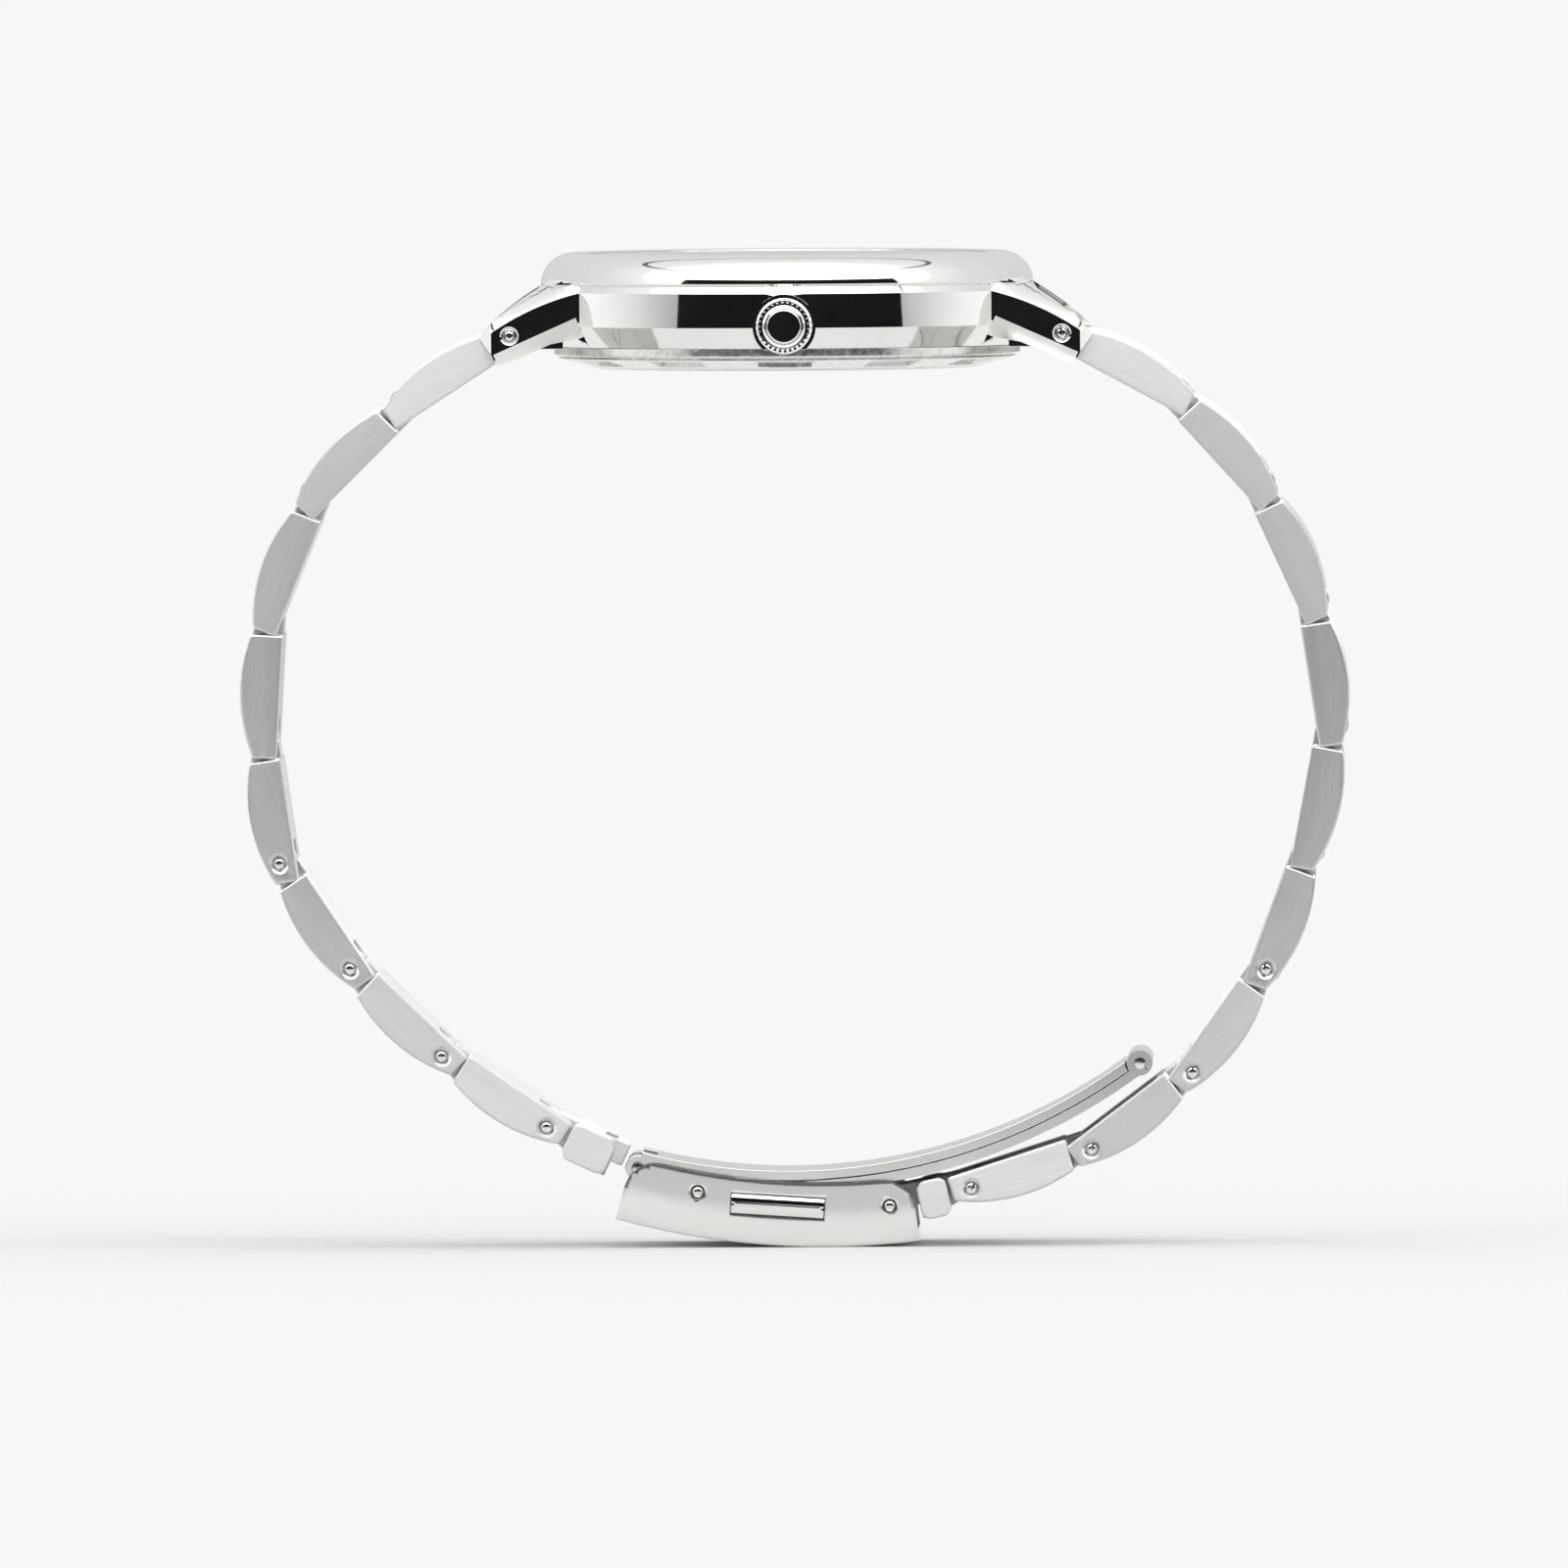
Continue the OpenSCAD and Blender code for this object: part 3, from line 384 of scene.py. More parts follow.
class WATCH_OT_finishes(bpy.types.Operator):
    """Mixes every finish that the watch wears"""
    bl_idname = "watch.finishes"
    bl_label = "Finishes"

    def execute(self, context):
        steel = context.scene.watch_steel
        dial = context.scene.watch_dial
        bright, brushed = steel.polished, steel.brushed
        # 316L steel buffed to a mirror: clean reflections, with faint hazy patches about 2 mm across
        surface("polished steel", "polished_steel", (darker(bright, 0.985), bright), 450, metallic=1.0,
                rough=(0.035, 0.06))
        # 316L steel brushed lengthwise with 240 grit: fine lines that follow the UV map's V axis,
        # a highlight drawn out across them, drawn a little coarser than real so that they show
        tree, shader = surface(
            "brushed steel", "brushed_steel", (darker(brushed, 0.94), brushed), 1.0, uv="grain", metallic=1.0,
            rough=(0.5, 0.6), stretch=(MM / steel.grain, 0.16, 1), bump=0.004 * MM, detail=4.0,
            Anisotropic=0.93)
        tangent = add(tree, "Tangent", {"direction_type": "UV_MAP", "uv_map": "grain"})
        tree.links.new(tangent.outputs[0], shader.inputs["Tangent"])
        # 316L steel turned and lightly buffed: reflections soften into broad greys
        surface("satin steel", "satin_steel", (darker(brushed, 0.9), brushed), 1500, metallic=1.0,
                rough=(0.2, 0.3), bump=0.0008 * MM)
        # 316L steel blasted with fine glass bead and lightly rubbed: an even silky grey
        surface("silk steel", "clasp_steel", (darker(bright, 0.97), bright), 9000, metallic=1.0,
                rough=(0.2, 0.25), bump=0.001 * MM)
        # spring steel strip, rolled bright: near mirror, with drag lines along its length
        surface("blade steel", "blade_steel", (darker(bright, 0.95), bright), 900, (0.15, 6, 0.15),
                metallic=1.0, rough=(0.1, 0.2), bump=0.002 * MM)
        # drawn stainless wire, tumbled bright
        surface("pin steel", "pin_steel", (darker(bright, 0.9), bright), 2500, metallic=1.0,
                rough=(0.08, 0.2))
        # nickel-plated sheet, pressed and left matt
        surface("plated sheet", "movement_steel", ("#B9B7B1", "#D2D0CB"), 3000, metallic=1.0,
                rough=(0.25, 0.4), bump=0.002 * MM)
        # deep-drawn stainless cell can, with rubbed circles
        surface("cell can", "battery_steel", ("#C4C4C2", "#DEDEDC"), 1500, metallic=1.0, rough=(0.15, 0.35))
        # rhodium-plated brass, cut bright, for hands and markers
        surface("rhodium", "hand_steel", ("#D9D9DA", "#EDEDEE"), 1200, metallic=1.0, rough=(0.05, 0.12))
        # rolled brass plate with a straight grain
        surface("brass plate", "brass", ("#B08F4C", "#CBAA66"), 1200, (1, 8, 1), metallic=1.0,
                rough=(0.22, 0.38), bump=0.002 * MM)
        # polyacetal moulding: waxy white
        surface("moulded plastic", "movement_plastic", ("#E3E2DC", "#EFEEE9"), 2500, rough=(0.35, 0.5),
                bump=0.004 * MM)
        # nylon gasket: milky and slightly soft
        surface("nylon", "gasket_nylon", ("#E6E6E2", "#F1F1EE"), 1500, rough=(0.3, 0.45))
        # enamelled copper wire, 0.1 mm thick, wound side by side
        tree, shader = surface("copper winding", "copper_wire", ("#8A4A2B", "#B4683D"), 1500,
                               metallic=1.0, rough=(0.25, 0.4))
        place = add(tree, "TexCoord").outputs["Object"]
        turns = add(tree, "TexWave", {"bands_direction": "X"}, Vector=place,
                    Scale=0.314 / (0.1 * MM) / 10).outputs["Fac"]
        relief = add(tree, "Bump", Height=turns, Strength=0.8, Distance=0.03 * MM)
        tree.links.new(relief.outputs[0], shader.inputs["Normal"])
        # nitrile rubber seal: matt black with talc bloom
        surface("nitrile rubber", "seal_rubber", ("#1B1B1C", "#29292B"), 3000, rough=(0.55, 0.75),
                bump=0.006 * MM)
        # brass blank sprayed with dark lacquer over rays brushed out from the middle
        _, tree, out = fresh("sunray lacquer", "dial_lacquer")
        place = add(tree, "TexCoord").outputs["Object"]
        turn = add(tree, "TexGradient", {"gradient_type": "RADIAL"}, Vector=place).outputs[1]
        rays = add(tree, "TexNoise", {"noise_dimensions": "1D"}, W=turn, Scale=700.0, Detail=2.0).outputs[0]
        colour = add(tree, "Mix", {"data_type": "RGBA"}, i0=rays,
                     i6=linear(darker(dial.dial, 0.85)), i7=linear(dial.dial)).outputs[2]
        relief = add(tree, "Bump", Height=rays, Strength=0.1, Distance=0.002 * MM).outputs[0]
        round_dial = add(tree, "Tangent", {"direction_type": "RADIAL", "axis": "Z"}).outputs[0]
        shader = add(tree, "BsdfPrincipled", Base_Color=colour, Metallic=0.6, Roughness=0.32,
                     Anisotropic=0.6, Coat_Weight=0.6, Coat_Roughness=0.08, Normal=relief, Tangent=round_dial)
        tree.links.new(shader.outputs[0], out)
        # lacquered brass flange round the dial
        surface("flange lacquer", "rehaut_lacquer", (darker(dial.ring, 0.9), dial.ring), 1500,
                rough=(0.25, 0.4), Coat_Weight=0.5)
        # white pad print, 0.02 mm thick
        surface("pad print", "dial_lacquer", (darker(dial.print, 0.95), dial.print), 4000, rough=(0.5, 0.6))
        # hardened mineral glass, polished on all sides, with wipe marks too faint to see head on
        surface("mineral glass", "crystal", ("#FAFCFB", "#FFFFFF"), 600, rough=(0.0, 0.012),
                Transmission_Weight=1.0, IOR=1.52)
        return {"FINISHED"}


# The case

class WATCH_OT_case(bpy.types.Operator):
    """Case with its lugs, end pieces, bezel and back"""
    bl_idname = "watch.case"
    bl_label = "Case"

    def execute(self, context):
        steel = context.scene.watch_steel
        case = from_node("case_body", "case")
        self.lug_slopes(case)
        soften(case, steel.edge)
        finish(case, "case_body", "polished steel")
        dress_node("caseback", "back_cover", "satin steel", steel.edge)
        dress_node("end_pieces", "case_end_pieces", "polished steel", steel.edge)
        dress_node("crown_tube", "crown_sleeve", "polished steel", 0.03 * MM)
        self.bezel()
        return {"FINISHED"}

    def lug_slopes(self, case):
        """Planes a wide slope along the lower edge and the tip of each lug's flat side."""
        side, deep = Vector((0, -1, 0)), 3 * MM
        along = (LUG_TIP - LUG_ROOT).normalized()
        down = Vector((along.z, 0, -along.x))
        for middle, run, out, length in (
                ((LUG_ROOT + LUG_TIP) / 2, along, down, (LUG_TIP - LUG_ROOT).length - 0.3 * MM),
                (Vector((LUG_END, LUG_ROOT.y, LUG_TIP.z)), Vector((0, 0, -1)), Vector((1, 0, 0)), 8 * MM)):
            away = (out + side).normalized()
            place = Matrix((run, away.cross(run), away)).transposed().to_4x4()
            place.translation = middle - out * LUG_SLOPE + away * (deep / 2)
            for x, y in ((1, 1), (1, -1), (-1, 1), (-1, -1)):
                waste = cuboid("plane_cut", (length, 5 * MM, deep))
                waste.data.transform(Matrix.Diagonal((x, y, 1, 1)) @ place)
                if x * y < 0:
                    with editing(waste):
                        bpy.ops.mesh.flip_normals()
                cut_by(case, waste)

    def bezel(self):
        """The shoulder is a round bar's section, cut off at the seam and at the glass, and spun."""
        low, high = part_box("bezel")
        bezel = primitive("circle", "polished_bezel", vertices=160, radius=SHOULDER, fill_type="NGON",
                          location=(high.x - SHOULDER, 0, high.z - SHOULDER), rotation=(math.pi / 2, 0, 0))
        with editing(bezel):
            cut((0, 0, low.z), (0, 0, -1), fill=False)
            cut((BEZEL_BORE, 0, 0), (-1, 0, 0), fill=False)
        spin_round(bezel)
        soften(bezel, 0.04 * MM, angle=50)
        finish(bezel, "bezel", "polished steel", smooth=40)


class WATCH_OT_glass(bpy.types.Operator):
    """Crystal with its seal"""
    bl_idname = "watch.glass"
    bl_label = "Glass"

    def execute(self, context):
        low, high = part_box("crystal")
        glass = primitive("cylinder", "glass", vertices=256, radius=high.x, depth=high.z - low.z,
                          location=(low + high) / 2)
        soften(glass, 0.15 * MM, segments=3)
        finish(glass, "crystal", "mineral glass")
        dress_node("crystal_gasket", "glass_seal", "nylon", 0.04 * MM)
        return {"FINISHED"}


class WATCH_OT_crown(bpy.types.Operator):
    """Toothed crown with a polished cap, its stem and seal"""
    bl_idname = "watch.crown"
    bl_label = "Crown"

    def execute(self, context):
        low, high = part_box("crown")
        radius, axis_z = (high.x - low.x) / 2, (low.z + high.z) / 2
        teeth, valley_share = 30, 0.91
        cap_radius, cap_deep, cap_ahead, cap_edge = 1.52 * MM, 0.4 * MM, 0.2 * MM, 0.22 * MM
        crown = rod("toothed_crown", radius, high.y - low.y - cap_ahead,
                    (0, (low.y + high.y) / 2 + cap_ahead / 2, axis_z), teeth * 4, end_fill_type="NGON")

        def valley(face):
            middle = face.calc_center_median()
            turn = math.atan2(middle.z - axis_z, middle.x) / math.tau * teeth % 1.0
            return abs(face.normal.y) < 0.5 and turn > 0.5

        def front(face):
            return face.normal.y < -0.9

        with editing(crown):
            pick(crown, "FACE", valley)
            bpy.ops.mesh.extrude_region()
            bpy.ops.transform.resize(value=(valley_share, 1, valley_share),
                                     center_override=(0, low.y, axis_z))
            # inside the teeth, two sloped rings lead to the polished cap's seat
            pick(crown, "FACE", front)
            bpy.ops.mesh.inset(thickness=0.38 * MM, depth=0)
            bpy.ops.transform.translate(value=(0, 0.02 * MM, 0))
            for depth in (0.11 * MM, -0.13 * MM):
                bpy.ops.mesh.inset(thickness=0.14 * MM, depth=depth)
        soften(crown, 0.035 * MM, angle=40)
        finish(crown, "crown", "polished steel", smooth=40)
        cap = rod("crown_cap", cap_radius, cap_deep, (0, low.y + cap_deep / 2, axis_z), 96,
                  end_fill_type="NGON")
        with editing(cap):
            pick(cap, "EDGE", lambda edge: all(vertex.co.y < low.y + 0.1 * MM for vertex in edge.verts))
            bpy.ops.mesh.bevel(offset=cap_edge, segments=6, affect="EDGES")
        finish(cap, "crown", "polished steel", replaces=False, smooth=40)
        dress_node("stem", "winding_stem", "pin steel", 0.03 * MM)
        dress_node("crown_gasket", "crown_seal", "nitrile rubber", 0.03 * MM)
        return {"FINISHED"}


# Dial and hands

class WATCH_OT_dial(bpy.types.Operator):
    """Dial with its printed track, markers and hands"""
    bl_idname = "watch.dial"
    bl_label = "Dial"

    def execute(self, context):
        dress_node("dial", "dial_plate", "sunray lacquer", 0.05 * MM)
        dress_node("rehaut", "dial_flange", "flange lacquer", 0.05 * MM)
        dress_node("hour_markers", "cut_markers", "rhodium", 0.03 * MM)
        dress_node("hand_post", "hand_arbor", "brass plate", 0.03 * MM)
        self.track()
        self.hand("hour_hand", "hour_pointer", hub=1.5 * MM, wide=1.9 * MM)
        self.hand("minute_hand", "minute_pointer", hub=1.2 * MM, wide=1.6 * MM)
        self.hand("second_hand", "seconds_pointer", hub=0.8 * MM, wide=0.5 * MM)
        return {"FINISHED"}

    def track(self):
        """Sixty printed strokes round the dial, bolder at each hour."""
        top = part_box("dial")[1].z
        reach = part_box("rehaut")[1].x - 1.65 * MM
        ticks = None
        for minute in range(60):
            long, wide = (0.8 * MM, 0.16 * MM) if minute % 5 == 0 else (0.5 * MM, 0.09 * MM)
            tick = cuboid("minute_track", (long, wide, 0.02 * MM), (reach - long / 2, 0, top + 0.011 * MM))
            tick.data.transform(Matrix.Rotation(math.radians(6 * minute), 4, "Z"))
            if ticks:
                take(tick, ticks)
            else:
                ticks = tick
        soften(ticks, 0.006 * MM)
        finish(ticks, "dial", "pad print", replaces=False)

    def hand(self, node, name, hub, wide):
        """A faceted blade: four flats that meet along the middle, with a turned hub."""
        low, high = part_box(node)
        mesh = NODES[node].data
        tip = max((vertex.co for vertex in mesh.vertices), key=lambda co: co.xy.length)
        along = tip.xy.normalized()
        reach = tip.xy.length
        tail = max(-vertex.co.xy.dot(along) for vertex in mesh.vertices)
        thick = high.z - low.z
        blade = primitive("cone", name, vertices=4, radius1=1, radius2=0, depth=thick,
                          end_fill_type="NGON", location=(0, 0, low.z + thick / 2))
        with editing(blade):
            for sign, size in ((1, reach), (-1, tail)):
                pick(blade, "VERT", lambda vertex: vertex.co.x * sign > 0.5)
                bpy.ops.transform.resize(value=(size, 1, 1), center_override=(0, 0, 0))
            pick(blade, "VERT", lambda vertex: abs(vertex.co.y) > 0.5)
            bpy.ops.transform.resize(value=(1, wide / 2, 1), center_override=(0, 0, 0))
        soften(blade, 0.01 * MM, angle=20)
        hub_piece = primitive("cylinder", "hub", vertices=64, radius=hub, depth=thick,
                              location=(0, 0, low.z + thick / 2))
        soften(hub_piece, 0.05 * MM)
        take(hub_piece, blade)
        blade.data.transform(Matrix.Rotation(math.atan2(along.y, along.x), 4, "Z"))
        finish(blade, node, "rhodium")


class WATCH_OT_movement(bpy.types.Operator):
    """Quartz movement, its battery and the seals behind it"""
    bl_idname = "watch.movement"
    bl_label = "Movement"

    def execute(self, context):
        for node, name, finish_name, edge in (
                ("movement_ring", "holder_ring", "moulded plastic", 0.08),
                ("main_plate", "base_plate", "brass plate", 0.06),
                ("coil", "wound_coil", "copper winding", 0.05),
                ("stepper_motor", "rotor_housing", "plated sheet", 0.05),
                ("battery", "button_cell", "cell can", 0.12),
                ("battery_clamp", "cell_clamp", "plated sheet", 0.04),
                ("caseback_gasket", "back_seal", "nitrile rubber", 0.03),
                ("setting_lever", "stem_lever", "plated sheet", 0.03)):
            dress_node(node, name, finish_name, edge * MM)
        return {"FINISHED"}


# The bracelet

def rod_end(name, radius, length, slotted=False):
    """A round pin's end that points along -y, domed, with a screw slot where it has one."""
    pin = rod(name, radius, length, (0, length / 2, 0), 48)
    with editing(pin):
        pick(pin, "EDGE", lambda edge: all(vertex.co.y < 1e-6 for vertex in edge.verts))
        bpy.ops.mesh.bevel(offset=radius * 0.62, segments=6, affect="EDGES")
    if slotted:
        cut_by(pin, cuboid("slot", (radius * 3, 0.5 * MM, radius * 0.36)))
        soften(pin, 0.02 * MM, angle=50)
    return pin


def link_block(name, sizes, x0, x1, y0, y1, drop, rim, drum_x):
    """A bar with a domed outer face, cut from a drum, its case end well rounded and its rims bevelled."""
    block = rod(name, sizes.dome, y1 - y0, (drum_x, (y0 + y1) / 2, sizes.out - sizes.dome), 360)

    def along_y(edge, x, low):
        a, b = (vertex.co for vertex in edge.verts)
        return (abs(a.y - b.y) > (y1 - y0) / 2 and abs(a.x - x) < 1e-6
                and (a.z < 1e-6 - sizes.inner) == low)

    with editing(block):
        cut((x0, 0, 0), (-1, 0, 0))
        cut((x1, 0, 0), (1, 0, 0))
        cut((0, 0, -sizes.inner), (0, 0, -1))
        for x, low, size in ((x0, False, drop), (x0, True, 0.4 * MM), (x1, True, 0.6 * MM)):
            pick(block, "EDGE", lambda edge: along_y(edge, x, low))
            bpy.ops.mesh.bevel(offset=size, segments=8, affect="EDGES")
    if rim:
        soften(block, rim, rim=1, segments=3)
    return block


def grain_map(piece):
    """A map in mm whose V axis runs along the link, so that brush lines follow the link."""
    grain = piece.data.uv_layers.new(name="grain")
    for face in piece.data.polygons:
        for loop in face.loop_indices:
            place = piece.data.vertices[piece.data.loops[loop].vertex_index].co / MM
            across = place.z if abs(face.normal.y) > 0.6 else place.y
            if abs(face.normal.x) > 0.8:
                across = place.y + 7.0
            grain.data[loop].uv = (across, place.x)


def lean(piece, degrees, shift):
    """Turns and shifts the brush lines, which a hand never lays quite alike on two links."""
    turn = Matrix.Rotation(math.radians(degrees), 2)
    for loop in piece.data.uv_layers["grain"].data:
        loop.uv = turn @ loop.uv + Vector((shift, shift * 0.7))


def place_between(start, end, side):
    """From a link's own frame, x from its first pin to its last and z outwards, to its place."""
    x = (end - start).normalized()
    y = Vector((0, side, 0))
    z = x.cross(y)
    turn = Matrix((x, y, z)).transposed().to_4x4()
    return Matrix.Translation(start) @ turn


class WATCH_OT_bracelet(bpy.types.Operator):
    """Bracelet links with their pins"""
    bl_idname = "watch.bracelet"
    bl_label = "Bracelet"

    def execute(self, context):
        pitch = (HINGES["hinge_6_2"] - HINGES["hinge_6_1"]).length
        models = {pin: self.link(pin + "_link", pitch, pin) for pin in ("plain", "round", "screwed")}
        for row, count in LINKS.items():
            side = -1 if row == "6" else 1
            for k in range(1, count + 1):
                first, last = HINGES[f"hinge_{row}_{k}"], HINGES[f"hinge_{row}_{k + 1}"]
                # the last links by the clasp show their pins: round ones on one side, screws on the other
                pin = "plain"
                if row == "6" and k >= 5:
                    pin = "round"
                if row == "12" and k >= 6:
                    pin = "screwed"
                piece = twin(models[pin], f"bracelet_{row}_{k}", place_between(first, last, side))
                lean(piece, 9 * math.sin(2.4 * k + side), 3.1 * k + 17 * side)
                finish(piece, f"link_{row}_{k}")
        for model in models.values():
            remove(model)
        for row, side, first, last, outer, reach in (
                ("6", -1, "hinge_6_9", middle_of("blade_end_pin"), 6.1 * MM, 7.2 * MM),
                ("12", 1, "hinge_12_10", HINGES["cover_hinge"], 4.6 * MM, 8.48 * MM)):
            model = self.end_link(f"clasp_end_{row}", outer, reach)
            model.data.transform(place_between(HINGES[first], last, side))
            finish(model, f"end_link_{row}")
        return {"FINISHED"}

    def link(self, name, pitch, pin):
        """One link whose first pin is at the origin and whose last is at x = pitch."""
        sizes, steel = bpy.context.scene.watch_link, bpy.context.scene.watch_steel
        half, row, shown = sizes.half_width, sizes.row, pin != "plain"
        outer = link_block(name, sizes, ROW_START, pitch + ROW_END, -half, -row, 0.95 * MM, 0,
                           pitch - DRUM_BACK)
        if shown:
            hole = primitive("cone", "hole", vertices=48, radius1=sizes.pin + 0.04 * MM,
                             radius2=sizes.pin + 0.26 * MM, depth=0.6 * MM,
                             location=(pitch, -half + 0.2 * MM, 0), rotation=(math.pi / 2, 0, 0))
            cut_by(outer, hole)
        soften(outer, steel.rim * 0.8 if shown else steel.rim, rim=1, segments=3, angle=50)
        other = twin(outer, "other_row")
        mirror(other)
        take(other, outer)
        self.centre(outer, pitch - CENTRE_END, pitch - DRUM_BACK)
        if shown:
            for sign in (1, -1):
                head = rod_end("pin_head", sizes.pin, 0.9 * MM, pin == "screwed")
                head.data.transform(Matrix.Rotation(math.radians(-35 if sign > 0 else 20), 4, "Y"))
                head.data.transform(Matrix.Translation((pitch, -half + 0.04 * MM, 0)))
                if sign < 0:
                    head.data.transform(Matrix.Rotation(math.pi, 4, "Z"))
                    head.data.transform(Matrix.Translation((2 * pitch, 0, 0)))
                for polygon in head.data.polygons:
                    polygon.material_index = 0
                head.data.materials.append(bpy.data.materials["pin steel"])
                take(head, outer)
        self.dress(outer)
        return outer

    def centre(self, outer, x1, drum_x):
        """The middle row: a domed bar with a round tongue on the link before it."""
        sizes, steel = bpy.context.scene.watch_link, bpy.context.scene.watch_steel
        bar = link_block("centre_row", sizes, 0.5 * MM, x1, -CENTRE_HALF, CENTRE_HALF, 0.5 * MM,
                         steel.rim * 0.6, drum_x)
        tongue = rod("tongue", 1.35 * MM, 2 * CENTRE_HALF, (0, 0, 0), 64)
        soften(tongue, 0.1 * MM, rim=1)
        take(tongue, bar)
        take(bar, outer)

    def end_link(self, name, x1, reach):
        """Short outer blocks and a tongue that runs into the clasp."""
        sizes, steel = bpy.context.scene.watch_link, bpy.context.scene.watch_steel
        half, row = sizes.half_width, sizes.row
        outer = cuboid(name, (x1 - ROW_START, half - row, sizes.inner + sizes.out - 0.1 * MM),
                       ((ROW_START + x1) / 2, -(half + row) / 2, (sizes.out - sizes.inner) / 2 - 0.05 * MM))
        with editing(outer):
            pick(outer, "EDGE", lambda edge: abs(edge.verts[0].co.y - edge.verts[1].co.y) > MM)
            bpy.ops.mesh.bevel(offset=0.8 * MM, segments=8, affect="EDGES")
        soften(outer, steel.rim * 0.7, rim=1, segments=3)
        other = twin(outer, "other_row")
        mirror(other)
        take(other, outer)
        self.centre(outer, x1 - 0.05 * MM, 6.4 * MM)
        overlap = 1.5 * MM
        tongue = cuboid("end_tongue", (reach - x1 + overlap, 2 * CENTRE_HALF, 1.96 * MM),
                        ((reach + x1 - overlap) / 2, 0, -0.42 * MM))
        soften(tongue, 0.2 * MM, rim=1)
        take(tongue, outer)
        self.dress(outer)
        return outer

    def dress(self, piece):
        """Brushed faces with polished rims."""
        indices = [polygon.material_index for polygon in piece.data.polygons]
        names = [slot.name if slot else "" for slot in piece.data.materials]
        piece.data.materials.clear()
        for name in ("brushed steel", "polished steel", "pin steel"):
            piece.data.materials.append(bpy.data.materials[name])
        for polygon, index in zip(piece.data.polygons, indices):
            is_pin = index < len(names) and names[index] == "pin steel"
            polygon.material_index = 2 if is_pin else min(index, 1)
        grain_map(piece)


class WATCH_OT_bars(bpy.types.Operator):
    """Bars through the lugs"""
    bl_idname = "watch.bars"
    bl_label = "Lug bars"

    def execute(self, context):
        low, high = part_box("lug_pins")
        radius = (high.z - low.z) / 2
        whole = None
        for x in (low.x + radius, high.x - radius):
            for side in (1, -1):
                bar = rod_end("lug_bars", radius, high.y, slotted=x > 0)
                bar.data.transform(Matrix.Rotation(math.radians(75), 4, "Y"))
                bar.data.transform(Matrix.Translation((0, -high.y, 0)))
                if side < 0:
                    bar.data.transform(Matrix.Rotation(math.pi, 4, "Z"))
                bar.data.transform(Matrix.Translation((x, 0, (low.z + high.z) / 2)))
                if whole:
                    take(bar, whole)
                else:
                    whole = bar
        finish(whole, "lug_pins", "pin steel")
        return {"FINISHED"}


# The clasp

